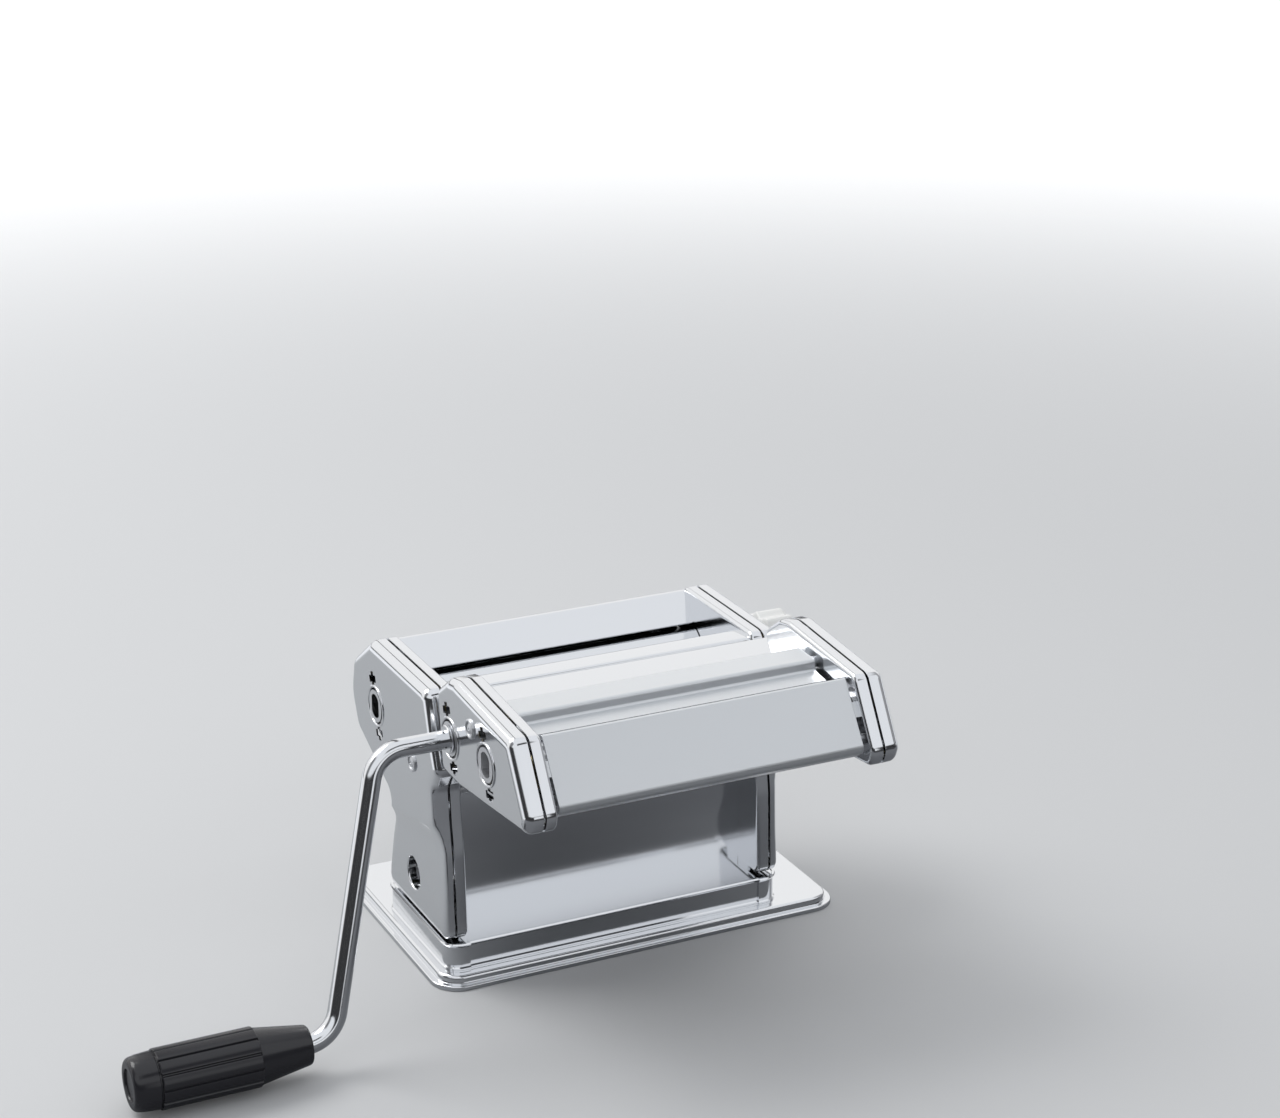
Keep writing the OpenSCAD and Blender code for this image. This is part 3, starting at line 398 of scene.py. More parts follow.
@dataclass(frozen=True)
class Studio:
    """A pale floor, one soft lamp, a room that only reflections see, and the camera."""

    eye: Place = (-516.874, -1139.076, 618.352)
    yaw: float = 25.6286
    pitch: float = 19.5292
    roll: float = -0.174
    focal_px: float = 2798.089
    image_w: int = 1280
    sensor: float = 36.0
    clip: Pair = (0.05, 50.0)
    floor_half: float = 6.0
    floor_colour: Colour = (0.64, 0.645, 0.65)
    floor_rough: float = 0.8
    floor_gloss: float = 0.2
    glow: float = 0.6
    glow_edge: Pair = (0.2, 4.5)
    back_near: Colour = (0.42, 0.43, 0.44)
    back_far: Colour = (0.90, 0.91, 0.93)
    back_edge: Pair = (0.23, 0.38)
    front_near: Colour = (0.17, 0.175, 0.185)
    front_far: Colour = (0.03, 0.03, 0.032)
    front_edge: Pair = (0.50, 0.70)
    middle_edge: Pair = (-0.14, 0.02)
    front_wall: Colour = (0.36, 0.365, 0.38)
    backdrop: Colour = (0.93, 0.93, 0.93)
    lamp_at: Place = (-0.9, 0.9, 1.6)
    lamp_to: Place = (0.0, 0.0, 0.08)
    lamp_size: float = 1.0
    lamp_power: float = 14.0

    def camera(self) -> None:
        """Makes the camera: it looks along +Y turned by the yaw toward +X, then down by the pitch."""
        data = bpy.data.cameras.new("camera")
        data.sensor_width = self.sensor
        data.lens = self.focal_px / self.image_w * self.sensor
        data.clip_start, data.clip_end = self.clip
        cam = placed("camera", data)
        cam.rotation_euler = (
            Matrix.Rotation(math.radians(-self.yaw), 4, "Z")
            @ Matrix.Rotation(math.radians(90.0 - self.pitch), 4, "X")
            @ Matrix.Rotation(math.radians(self.roll), 4, "Z")
        ).to_euler()
        cam.location = Vector(self.eye) * MM
        bpy.context.scene.camera = cam

    def floor_material(self) -> bpy.types.Material:
        """Makes the floor's material.

        Returns:
            The material: pale to the camera and whiter far away, which the square of the distance from the
            middle sets, and laid with grey, white and black areas in reflections.
        """
        made = bpy.data.materials.new("floor")
        g = Graph(made)
        ray = g.node("ShaderNodeLightPath")
        right, back, _ = g.axes("Object")
        away = right * right + back * back
        behind = g.mix(away.step(*self.back_edge), self.back_near, self.back_far)
        before = g.mix(away.step(*self.front_edge), self.front_near, self.front_far)
        shade = g.mix(back.step(*self.middle_edge), before, behind)
        glow = Value(g, ray.outputs["Is Camera Ray"]) * away.step(*self.glow_edge) * self.glow
        g.surface(
            Base_Color=g.mix(Value(g, ray.outputs["Is Glossy Ray"]), self.floor_colour, shade),
            Roughness=self.floor_rough,
            Specular_IOR_Level=self.floor_gloss,
            Emission_Color=g.mix(glow, (0.0, 0.0, 0.0), WHITE),
            Emission_Strength=1.0,
        )
        return made

    def floor(self) -> None:
        """Makes the floor as one square."""
        half = self.floor_half
        mesh = bpy.data.meshes.new("floor")
        square = [(-half, -half, 0), (half, -half, 0), (half, half, 0), (-half, half, 0)]
        mesh.from_pydata(square, [], [(0, 1, 2, 3)])
        mesh.materials.append(self.floor_material())
        placed("floor", mesh)

    def sky(self) -> None:
        """Makes the sky: the areas over each other in reflections, and plain to the camera."""
        world = bpy.data.worlds.new("studio")
        bpy.context.scene.world = world
        g = Graph(world)
        seen = Value(g, g.node("ShaderNodeLightPath").outputs["Is Camera Ray"])
        right, back, up = g.axes("Generated")
        left, front = right * -1.0, back * -1.0
        turn = front.turn_from(left)
        ways = {"right": right, "left": left, "back": back, "front": front, "up": up, "turn": turn}
        shade = self.front_wall
        for area in SKY:
            shade = g.mix(area.share(ways), shade, area.colour)
            shade.socket.node.label = area.name
        light = g.node("ShaderNodeBackground", {}, {"Color": g.mix(seen, shade, self.backdrop)})
        g.node("ShaderNodeOutputWorld", {}, {"Surface": light.outputs[0]})

    def lamp(self) -> None:
        """Makes the soft square lamp."""
        data = bpy.data.lights.new("key", "AREA")
        data.size = self.lamp_size
        data.energy = self.lamp_power
        obj = placed("key", data)
        obj.location = self.lamp_at
        toward = Vector(self.lamp_to) - Vector(self.lamp_at)
        obj.rotation_euler = toward.to_track_quat("-Z", "Y").to_euler()

    def build(self) -> None:
        """Makes the floor, the sky, the lamp and the camera."""
        bpy.context.scene.view_settings.view_transform = "Standard"
        self.camera()
        self.floor()
        self.sky()
        self.lamp()


# ---------------- outlines


def unit(v: np.ndarray) -> np.ndarray:
    """Rows of v at length 1."""
    return v / np.linalg.norm(v, axis=-1, keepdims=True)


def left_of(v: np.ndarray) -> np.ndarray:
    """Rows of v turned a quarter turn to the left."""
    return np.stack([-v[..., 1], v[..., 0]], axis=-1)


def even_turns(sides: int) -> np.ndarray:
    """As many even angles round a circle, in radians."""
    return np.linspace(0.0, 2.0 * math.pi, sides, endpoint=False)


def circle(centre: Sequence[float], radius: float, sides: int = 64) -> np.ndarray:
    """A closed circle of points."""
    turns = even_turns(sides)
    return np.asarray(centre, float) + radius * np.stack([np.cos(turns), np.sin(turns)], axis=1)


def arc(centre: Pair, radii: Pair, turn: Pair, sides: int) -> list[Pair]:
    """Points along an ellipse's arc: the centre plus (a cos t, b sin t).

    Args:
        centre: the ellipse's centre.
        radii: its radii a and b.
        turn: the angle t at the first point and at the last, in degrees.
        sides: how many pieces it has.

    Returns:
        The points.
    """
    turns = np.radians(np.linspace(*turn, sides + 1))
    return [(centre[0] + radii[0] * math.cos(t), centre[1] + radii[1] * math.sin(t)) for t in turns]


def round_corner(
    before: np.ndarray, here: np.ndarray, after: np.ndarray, radius: float, step: float
) -> np.ndarray:
    """The arc that rounds one corner.

    Args:
        before: the corner before it.
        here: the corner.
        after: the corner after it.
        radius: the arc's radius, or 0 for a sharp corner.
        step: the largest angle between two points, in degrees.

    Returns:
        The arc's points in order.
    """
    if radius <= 0.0:
        return here[None, :]
    into, out = unit(before - here), unit(after - here)
    half = math.acos(float(np.clip(into @ out, -1.0, 1.0))) / 2.0
    middle = here + unit(into + out) * radius / math.sin(half)
    start = here + into * radius / math.tan(half) - middle
    sweep = math.pi - 2.0 * half
    if into[0] * out[1] - into[1] * out[0] > 0.0:
        sweep = -sweep
    turns = np.linspace(0.0, sweep, max(2, math.ceil(abs(math.degrees(sweep)) / step)) + 1)[:, None]
    return middle + np.cos(turns) * start + np.sin(turns) * left_of(start)


def rounded(corners: Sequence[Corner], closed: bool = True, step: float = 5.0) -> np.ndarray:
    """A line of corners with each of them rounded.

    Args:
        corners: y, z and radius of each corner.
        closed: whether the last corner leads back to the first.
        step: the largest angle between two points of an arc, in degrees.

    Returns:
        The points, one a row.
    """
    line = np.array([c[:2] for c in corners], float)
    last = len(corners) - 1
    arcs = []
    for i, corner in enumerate(corners):
        radius = corner[2] if closed or 0 < i < last else 0.0
        arcs.append(round_corner(line[i - 1], line[i], line[(i + 1) % (last + 1)], radius, step))
    return np.concatenate(arcs)


def divided(line: np.ndarray, longest: float, closed: bool = True) -> np.ndarray:
    """A line with its long pieces divided evenly.

    Args:
        line: the points.
        longest: the longest piece that is left whole.
        closed: whether the last point leads back to the first.

    Returns:
        The points with more between them.
    """
    ends = np.roll(line, -1, axis=0) if closed else line[1:]
    starts = line if closed else line[:-1]
    counts = np.maximum(1, np.ceil(np.linalg.norm(ends - starts, axis=1) / longest)).astype(int)
    owner = np.repeat(np.arange(len(starts)), counts)
    place = (np.arange(len(owner)) - np.repeat(np.cumsum(counts) - counts, counts)) / counts[owner]
    made = starts[owner] + (ends - starts)[owner] * place[:, None]
    return made if closed else np.concatenate([made, line[-1:]])


def offset(line: np.ndarray, distance: float | np.ndarray, closed: bool = True) -> np.ndarray:
    """A line moved to its left, with its pieces still meeting.

    Args:
        line: the points.
        distance: how far it moves, or how far each of its points does.
        closed: whether the last point leads back to the first.

    Returns:
        The moved points.
    """
    if closed:
        before, after = unit(line - np.roll(line, 1, axis=0)), unit(np.roll(line, -1, axis=0) - line)
    else:
        pieces = unit(np.diff(line, axis=0))
        before, after = np.concatenate([pieces[:1], pieces]), np.concatenate([pieces, pieces[-1:]])
    a, b = left_of(before), left_of(after)
    return line + distance * (a + b) / (1.0 + (a * b).sum(axis=1, keepdims=True))


def inside(points: np.ndarray, loop: np.ndarray) -> np.ndarray:
    """Which points lie inside a closed loop, by counting the edges that a ray along +y crosses.

    Args:
        points: the points to test.
        loop: the loop's points.

    Returns:
        True for each point inside.
    """
    a, b = loop, np.roll(loop, -1, axis=0)
    y, z = points[:, :1], points[:, 1:]
    spans = (a[:, 1] > z) != (b[:, 1] > z)
    rise = np.where(a[:, 1] == b[:, 1], 1.0, b[:, 1] - a[:, 1])
    return (spans & (y < a[:, 0] + (z - a[:, 1]) / rise * (b[:, 0] - a[:, 0]))).sum(axis=1) % 2 == 1


# ---------------- pieces


class Piece:
    """The points and faces of one piece while it is built, in the machine's own millimetres.

    While its side is -1, what is added is mirrored to the crank's side.
    """

    NEAR = 1e-6  # points of a face nearer than this are one
    SLIVER = 1e-5  # least share of its longest edge's square in a triangle's area, doubled
    WELD = 2e-6  # points of the mesh nearer than this are joined, in metres
    SHORTEST = 1e-6  # edges shorter than this are taken out, in metres
    EASE_SIDES = 3

    def __init__(self, side: float = 1.0) -> None:
        """Starts empty."""
        self.side = side
        self.points: list[np.ndarray] = []
        self.faces: list[np.ndarray] = []
        self.count = 0

    def add(self, points: np.ndarray, faces: np.ndarray) -> None:
        """Adds points and the faces between them.

        Args:
            points: one point a row.
            faces: places in points, one face a row.
        """
        self.points.append(points * (self.side, 1.0, 1.0))
        self.faces.append(faces + self.count)
        self.count += len(points)

    def grid(self, rows: np.ndarray, close_rows: bool = False) -> None:
        """Adds the quads between rows of points, where each row closes on itself.

        Args:
            rows: points as [row, column, 3].
            close_rows: whether the last row leads back to the first.
        """
        r, c = rows.shape[:2]
        i, j = np.meshgrid(np.arange(r if close_rows else r - 1), np.arange(c), indexing="ij")
        k, m = (i + 1) % r, (j + 1) % c
        faces = np.stack([i * c + j, i * c + m, k * c + m, k * c + j], axis=-1).reshape(-1, 4)
        self.add(rows.reshape(-1, 3), faces)

    def plate(
        self, outer: np.ndarray, holes: Sequence[np.ndarray], x: Field, extra: Optional[np.ndarray] = None
    ) -> None:
        """Adds a face with holes in it, without the slivers whose area is next to nothing.

        Args:
            outer: its outline as y and z.
            holes: the outlines of its holes.
            x: gives the x of its points.
            extra: more points to put in it where it is curved.
        """
        loops = [outer, *holes]
        edges, start = [], 0
        for loop in loops:
            i = np.arange(len(loop))
            edges.append(start + np.stack([i, (i + 1) % len(loop)], axis=1))
            start += len(loop)
        flat = np.concatenate(loops if extra is None else [*loops, extra])
        points, lines = [Vector(p) for p in flat.tolist()], np.concatenate(edges).tolist()
        found = delaunay_2d_cdt(points, lines, [], 0, self.NEAR)
        flat, tris = np.array([tuple(p) for p in found[0]]), np.array(found[2])
        middle, (p, q, r) = flat[tris].mean(axis=1), np.moveaxis(flat[tris], 1, 0)
        longest = np.maximum(((q - p) ** 2).sum(axis=1), ((r - q) ** 2).sum(axis=1))
        twice_area = np.abs((left_of(q - p) * (r - p)).sum(axis=1))
        keep = inside(middle, outer) & (twice_area > self.SLIVER * longest)
        for hole in holes:
            keep &= ~inside(middle, hole)
        self.add(np.column_stack([x(flat), flat]), tris[keep])

    def walls(self, loops: Sequence[np.ndarray], x0: Field, x1: Field) -> None:
        """Adds the walls of holes through a sheet, from its x at one face to its x at the other."""
        for loop in loops:
            self.grid(np.stack([np.column_stack([x0(loop), loop]), np.column_stack([x1(loop), loop])]))

    def ribbed(self, centre: Pair, rows: Sequence[Corner], dips: np.ndarray) -> None:
        """Adds a profile turned round an axis along x, whose radius is r - s d at each angle.

        Args:
            centre: y and z of the axis.
            rows: radius r, x, and share s of the dips, of each point of the profile.
            dips: the depth d of the dips at even angles round the axis.
        """
        radius, x, share = (np.array(column, float)[:, None] for column in zip(*rows))
        radii = radius - share * dips
        turns = even_turns(len(dips))
        y, z = centre[0] + radii * np.cos(turns), centre[1] + radii * np.sin(turns)
        self.grid(np.stack([np.broadcast_to(x, radii.shape), y, z], axis=-1))

    def turned(self, centre: Pair, profile: Sequence[Pair], sides: int) -> None:
        """Adds a profile of radius and x turned round an axis along x, with as many sides."""
        self.ribbed(centre, [(r, x, 0.0) for r, x in profile], np.zeros(sides))

    def prism(self, section: np.ndarray, x0: float, x1: float, edge: float = 0.0) -> None:
        """Adds a solid of one cross-section along x, with its end edges eased.

        Args:
            section: the closed cross-section as y and z, anticlockwise.
            x0: where it starts.
            x1: where it ends.
            edge: radius of the eased end edges.
        """
        steps = [(0.0, x0)]
        if edge > 0.0:
            steps = arc((edge, x0 + edge), (edge, edge), (270.0, 180.0), self.EASE_SIDES)
        steps += [(d, x0 + x1 - x) for d, x in reversed(steps)]
        loops = [offset(section, d) if d > 0.0 else section for d, _ in steps]
        self.grid(np.stack([np.column_stack([np.full(len(p), x), p]) for p, (_, x) in zip(loops, steps)]))
        for p, (_, x) in ((loops[0], steps[0]), (loops[-1], steps[-1])):
            self.plate(p, [], lambda q, x=x: np.full(len(q), x))

    def swept(self, path: np.ndarray, across: np.ndarray, radius: float, sides: int = 40) -> None:
        """Adds a round bar along a path that lies in one plane, closed to a point at both ends.

        Args:
            path: the points of its middle line.
            across: the plane's normal.
            radius: its radius.
            sides: how many sides its circles have.
        """
        beside = np.cross(unit(np.gradient(path, axis=0)), across)
        ring = circle((0.0, 0.0), radius, sides)
        rows = path[:, None] + ring[None, :, :1] * across + ring[None, :, 1:] * beside[:, None]
        ends = [np.repeat(path[at][None, None, :], sides, axis=1) for at in (0, -1)]
        self.grid(np.concatenate([ends[0], rows, ends[1]]))

    def finish(self, name: str, finish: Finish, body: str, nodes: Sequence[str], sharp: float = 32.0) -> None:
        """Makes the piece's object, lets it ride a body and hides the CAD nodes that it stands for.

        Args:
            name: the object's name.
            finish: its finish.
            body: the body that it rides on.
            nodes: the CAD nodes that it replaces.
            sharp: edges with a larger angle than this stay sharp, in degrees.
        """
        points = np.concatenate(self.points) + (MACHINE_X, 0.0, 0.0)
        mesh = bpy.data.meshes.new(name)
        mesh.from_pydata((points * MM).tolist(), [], [f for block in self.faces for f in block.tolist()])
        clean = bmesh.new()
        clean.from_mesh(mesh)
        bmesh.ops.remove_doubles(clean, verts=clean.verts, dist=self.WELD)
        bmesh.ops.dissolve_degenerate(clean, edges=clean.edges, dist=self.SHORTEST)
        bmesh.ops.recalc_face_normals(clean, faces=clean.faces)
        clean.to_mesh(mesh)
        clean.free()
        mesh.materials.append(finish.material())
        mesh.polygons.foreach_set("use_smooth", np.ones(len(mesh.polygons), bool))
        mesh.set_sharp_from_angle(angle=math.radians(sharp))
        obj = placed(name, mesh)
        flats = obj.modifiers.new("flats", "WEIGHTED_NORMAL")
        flats.keep_sharp = True
        flats.weight = 100
        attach(obj, body)
        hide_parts(*nodes)
        log.info("%s: %d faces", name, len(mesh.polygons))


# ---------------- pressed sides


def full_height(points: np.ndarray) -> np.ndarray:
    """A share of 1 for every point, for a tray of one depth."""
    return np.ones(len(points))


def no_widening(points: np.ndarray) -> np.ndarray:
    """A share of 0 for every point, for a tray whose rounded edge has one width."""
    return np.zeros(len(points))


@dataclass(frozen=True)
class Tray:
    """A sheet pressed into a shallow tray: a rim, a rounded edge and a flat face, open at the back."""

    outline: np.ndarray
    base: float
    way: float
    depth: float
    fillet: float
    sheet: float
    share: Field = full_height
    soft: Field = no_widening
    extra: Optional[np.ndarray] = None
    support: float = 0.5
    steps: int = 8
    rim: float = 0.3
    least: float = 0.4

    def at(self, height: float) -> Field:
        """Gives the x of points that stand at a height over the rim, scaled by their share."""
        return lambda points: self.base + self.way * height * self.share(points)

    def edge(self, depth: float, fillet: float) -> list[Pair]:
        """Distance inward and height of a quarter circle up to a face, with one more point on the face."""
        bend = arc((fillet, depth - fillet), (fillet, fillet), (180.0, 90.0), self.steps)
        return bend + [(fillet + self.support, depth)]

    def shell(self, piece: Piece, holes: list[np.ndarray], lipped: Sequence[np.ndarray] = ()) -> None:
        """Adds the tray to a piece.

        Args:
            piece: the piece.
            holes: outlines of the holes through its face.
            lipped: outlines of the holes whose walls are made apart, as a lip.
        """
        under, cut = self.depth - self.sheet, 0.3 * self.rim
        inner = [(d + self.sheet, h) for d, h in self.edge(under, max(self.least, self.fillet - self.sheet))]
        rim = [(self.sheet, 0.0), (self.rim, 0.0), (cut, cut), (0.0, self.rim)]
        rings = inner[::-1] + rim + self.edge(self.depth, self.fillet)[1:]
        widen = 1.0 + self.soft(self.outline)[:, None]
        loops = [offset(self.outline, d * widen) for d, _ in rings]
        piece.grid(np.stack([np.column_stack([self.at(h)(p), p]) for p, (_, h) in zip(loops, rings)]))
        for loop, height in ((loops[0], under), (loops[-1], self.depth)):
            extra = self.extra
            if extra is not None:
                extra = extra[inside(extra, offset(loop, self.least))]
            piece.plate(loop, [*holes, *lipped], self.at(height), extra)
        piece.walls(holes, self.at(under), self.at(self.depth))


@dataclass(frozen=True)
class SideSizes:
    """Where the pressed sheet sides stand along x, and how they are bent."""

    inner_half: float = 75.5
    seam_half: float = 81.2
    outer_half: float = 90.5
    seam_gap: float = 1.0
    sheet: float = 1.2
    cover_sheet: float = 0.8
    cover_fillet: float = 5.0
    frame_fillet: float = 2.2
    leg_share: float = 0.58

    def cover(self, outline: np.ndarray, **bends: object) -> Tray:
        """The tray of an outer cover, which stands out from the seam, with its other fields as bends."""
        base = self.seam_half + self.seam_gap
        return Tray(outline, base, 1.0, self.outer_half - base, self.cover_fillet, self.cover_sheet, **bends)

    def frame(self, outline: np.ndarray) -> Tray:
        """The tray of an inner frame, which stands inward from the seam."""
        depth = self.seam_half - self.inner_half
        return Tray(outline, self.seam_half, -1.0, depth, self.frame_fillet, self.sheet, steps=6)


SIDES = SideSizes()


@dataclass(frozen=True)
class Socket:
    """A ringed hole that takes the crank, with a crossed slot above and below it."""

    centre: Pair
    hole_r: float = 8.8
    bead_r: float = 9.6
    bead: float = 0.7
    bead_sunk: float = 0.1
    slot_off: float = 13.0
    tilt: float = 15.6
    slot: Corners = ((4.3, 1.7, 0.5), (1.6, 1.7, 0.3), (1.6, 3.6, 0.5))
    sides: int = 96

    def slot_outline(self, way: float) -> np.ndarray:
        """The outline of one crossed slot, from the corners in one quarter of it.

        Args:
            way: 1 for the slot above the hole and -1 for the one below it.

        Returns:
            Its points.
        """
        corners = []
        for right, up, order in ((1, 1, 1), (-1, 1, -1), (-1, -1, 1), (1, -1, -1)):
            corners += [(right * y, up * z, r) for y, z, r in self.slot[::order]]
        c, s = math.cos(math.radians(self.tilt)), math.sin(math.radians(self.tilt))
        middle = np.array(self.centre) + way * self.slot_off * np.array([s, c])
        return rounded(corners, step=18.0) @ np.array([[c, -s], [s, c]]) + middle

    def holes(self) -> list[np.ndarray]:
        """The outlines of the hole and its two slots."""
        return [circle(self.centre, self.hole_r, self.sides), self.slot_outline(1.0), self.slot_outline(-1.0)]

    def add_bead(self, piece: Piece) -> None:
        """Adds the raised ring round the hole, as a torus sunk into the cover's face."""
        ring = arc((self.bead_r, SIDES.outer_half - self.bead_sunk), (self.bead, self.bead), (0.0, 360.0), 24)
        piece.turned(self.centre, ring, self.sides)


@dataclass(frozen=True)
class Rivet:
    """A hollow rivet head: a ring flange, a groove and a low dome with a dimple."""

    centre: Pair
    radius: float = 4.5
    pin_r: float = 1.8
    pin: float = 3.0
    height: float = 1.0
    ring: float = 0.7
    groove: float = 0.15
    groove_width: float = 0.5
    dome: float = 0.8
    dome_to: float = 75.0
    dimple_r: float = 0.4
    dimple: float = 0.6

    def profile(self, face: float) -> list[Pair]:
        """Its profile on a face.

        Args:
            face: x of the face that it sits on.

        Returns:
            Radius and x of each point.
        """
        r, ring, low = self.radius, self.ring, face + self.groove
        dome_r = r - 2.0 * ring - self.groove_width
        made = [(0.0, face - self.pin), (self.pin_r, face - self.pin), (self.pin_r, face), (r, face)]
        made += arc((r - ring, face + self.height - ring), (ring, ring), (0.0, 180.0), 12)
        made += [(r - 2.0 * ring, low), (dome_r, low)]
        made += arc((0.0, low), (dome_r, self.dome), (0.0, self.dome_to), 6)
        return made + [(self.dimple_r, face + self.dimple), (0.0, face + self.dimple)]

    def pair(self, name: str, body: str, node: str) -> None:
        """Builds one on each of the two covers.

        Args:
            name: the piece's name.
            body: the body that it rides on.
            node: the CAD node that it replaces.
        """
        piece = Piece()
        for piece.side in (-1.0, 1.0):
            piece.turned(self.centre, self.profile(SIDES.outer_half), 48)
        piece.finish(name, Finish.SATIN_STEEL, body, [node])


# ---------------- body


@dataclass(frozen=True)
class Body:
    """The machine's body: two frames and two covers with a waist between leg and head."""

    leg: Corners = ((-58.4, 20.2, 5.6), (17.0, 20.2, 5.6), (11.4, 46.0, 30.0))
    step_back: Pair = (8.1, 55.0)
    step_front: Pair = (-56.9, 64.5)
    neck_back: Pair = (3.2, 66.5)
    neck_front: Pair = (-54.8, 78.8)
    head: Corners = (
        (0.8, 72.0, 5.0),
        (43.5, 91.0, 10.0),
        (51.2, 108.3, 18.0),
        (46.8, 126.0, 9.0),
        (22.0, 143.2, 6.0),
        (-48.6, 142.9, 5.8),
        (-55.4, 118.0, 30.0),
        (-60.0, 106.3, 5.8),
        (-53.4, 96.5, 8.0),
    )
    longest: float = 4.0
    waist_grid: tuple[int, int] = (13, 25)
    fixed_axis: Pair = (15.0, 112.5)
    shaft_axis: Pair = (-15.25, 112.5)
    bearing_r: float = 8.52
    bushing_r: float = 9.5
    block_axis: Pair = (-16.5, 112.5)
    block_y: float = 10.8
    left_block_z: float = 20.0
    right_block_z: float = 11.0
    block_gap: float = 0.3
    gap_travel: float = 2.5
    rods: Points = ((-41.0, 133.0), (37.0, 121.0), (-41.0, 89.0), (29.3, 93.0), (-31.0, 30.0), (2.0, 27.6))
    rod_hole_r: float = 2.52
    rivet_at: Pair = (-31.2, 101.8)
    soft: float = 1.6
    soft_from: float = 29.0
    soft_rise: float = 16.0
    clamp_at: Pair = (-18.3, 39.4)
    clamp_r: float = 8.0
    clamp_lip: float = 1.0
    clamp_flat: float = 0.2
    clamp_wall: float = 0.8
    clamp_under: float = 0.4
    clamp_length: float = 4.2
    clamp_sides: int = 72
    foot_y: Pair = (-48.0, 8.0)
    foot_z: Pair = (19.0, 24.0)
    foot_in: float = 0.1

    def outline(self) -> np.ndarray:
        """The side's closed outline, with short pieces along the waist so that it can bend there."""
        corners = [
            *self.leg,
            (*self.step_back, 0.0),
            (*self.neck_back, 0.0),
            *self.head,
            (*self.neck_front, 0.0),
            (*self.step_front, 0.0),
        ]
        return divided(rounded(corners, step=6.0), self.longest)

    def waist(self, points: np.ndarray) -> np.ndarray:
        """How far points are up the waist: 0 on the step line and 1 on the neck line, with no limits.

        Args:
            points: y and z of each point.

        Returns:
            t = a / (a - b), where a and b are the heights over the step line and over the neck line.
        """
        y, z = points[:, 0], points[:, 1]
        lines = ((self.step_back, self.step_front), (self.neck_back, self.neck_front))
        over = [z - p[1] - (y - p[0]) * (q[1] - p[1]) / (q[0] - p[0]) for p, q in lines]
        return over[0] / (over[0] - over[1])

    def share(self, points: np.ndarray) -> np.ndarray:
        """How far the side stands out: s on the leg, s + (1 - s) t² up the waist and 1 on the head."""
        s = SIDES.leg_share
        return s + (1.0 - s) * np.clip(self.waist(points), 0.0, 1.0) ** 2

    def soft_share(self, points: np.ndarray) -> np.ndarray:
        """How much wider the leg's rounded edge is than the head's, less toward the foot's corners."""
        high = np.clip((points[:, 1] - self.soft_from) / self.soft_rise, 0.0, 1.0)
        return self.soft * (1.0 - self.share(points)) * high

    def waist_points(self) -> np.ndarray:
        """Even points between the step line and the neck line, where the face is curved."""
        t, s = np.meshgrid(*(np.linspace(0.0, 1.0, n) for n in self.waist_grid), indexing="ij")
        back = np.array(self.step_back) + t[..., None] * (np.array(self.neck_back) - self.step_back)
        front = np.array(self.step_front) + t[..., None] * (np.array(self.neck_front) - self.step_front)
        return (back + s[..., None] * (front - back)).reshape(-1, 2)

    def cover_tray(self) -> Tray:
        """The cover's pressed sheet."""
        return SIDES.cover(self.outline(), share=self.share, soft=self.soft_share, extra=self.waist_points())

    def clamp_hole(self, piece: Piece) -> np.ndarray:
        """Adds the lip that is rolled into the leg round the clamp's hole.

        Args:
            piece: the cover that it belongs to.

        Returns:
            The outline of the face's hole, on which the lip ends.
        """
        tray = self.cover_tray()
        on_leg = np.array([self.clamp_at])
        face, under = (float(tray.at(h)(on_leg)[0]) for h in (tray.depth, tray.depth - tray.sheet))
        r, lip, back = self.clamp_r, self.clamp_lip, face - self.clamp_length
        wall, rim = r + self.clamp_wall, r + lip + self.clamp_flat
        profile = [(rim, face)] + arc((r + lip, face - lip), (lip, lip), (90.0, 180.0), 8)
        profile += [(r, back), (wall, back), (wall, under - self.clamp_under), (rim, under)]
        piece.turned(self.clamp_at, profile, self.clamp_sides)
        return circle(self.clamp_at, rim, self.clamp_sides)

    def left_cover(self) -> None:
        """Builds the crank side's cover with its socket and its clamp hole."""
        piece = Piece(-1.0)
        socket = Socket(self.fixed_axis)
        self.cover_tray().shell(piece, socket.holes(), [self.clamp_hole(piece)])
        socket.add_bead(piece)
        piece.finish("left_cover_sheet", Finish.MIRROR_STEEL, "machine", ["left_cover"])

    def right_cover(self) -> None:
        """Builds the knob side's cover."""
        piece = Piece()
        self.cover_tray().shell(piece, [circle(self.shaft_axis, self.bearing_r, 72)])
        piece.finish("right_cover_sheet", Finish.MIRROR_STEEL, "machine", ["right_cover"])

    def frame(self, side: float, name: str, block_z: float) -> None:
        """Builds one inner frame with its window for the sliding bearing block.

        Args:
            side: -1 for the crank's side and 1 for the knob's.
            name: its CAD node.
            block_z: half the height of the bearing block.
        """
        y, z = self.block_axis
        front, back, half = y - self.block_y, y + self.block_y + self.gap_travel, block_z + self.block_gap
        window = np.array([(front, z - half), (back, z - half), (back, z + half), (front, z + half)])
        holes = [circle(self.fixed_axis, self.bushing_r), window]
        holes += [circle(rod, self.rod_hole_r, 32) for rod in self.rods]
        piece = Piece(side)
        SIDES.frame(self.outline()).shell(piece, holes)
        (front, back), (low, high) = self.foot_y, self.foot_z
        foot = np.array([(front, low), (back, low), (back, high), (front, high)])
        piece.prism(foot, SIDES.inner_half + self.foot_in, SIDES.inner_half + SIDES.sheet - self.foot_in)
        piece.finish(name + "_sheet", Finish.MIRROR_STEEL, "machine", [name])

    def build(self) -> None:
        """Builds the covers, the frames and the rivets."""
        self.left_cover()
        self.right_cover()
        self.frame(-1.0, "left_frame", self.left_block_z)
        self.frame(1.0, "right_frame", self.right_block_z)
        Rivet(self.rivet_at).pair("body_rivet_heads", "machine", "body_rivets")


# ---------------- cutter head


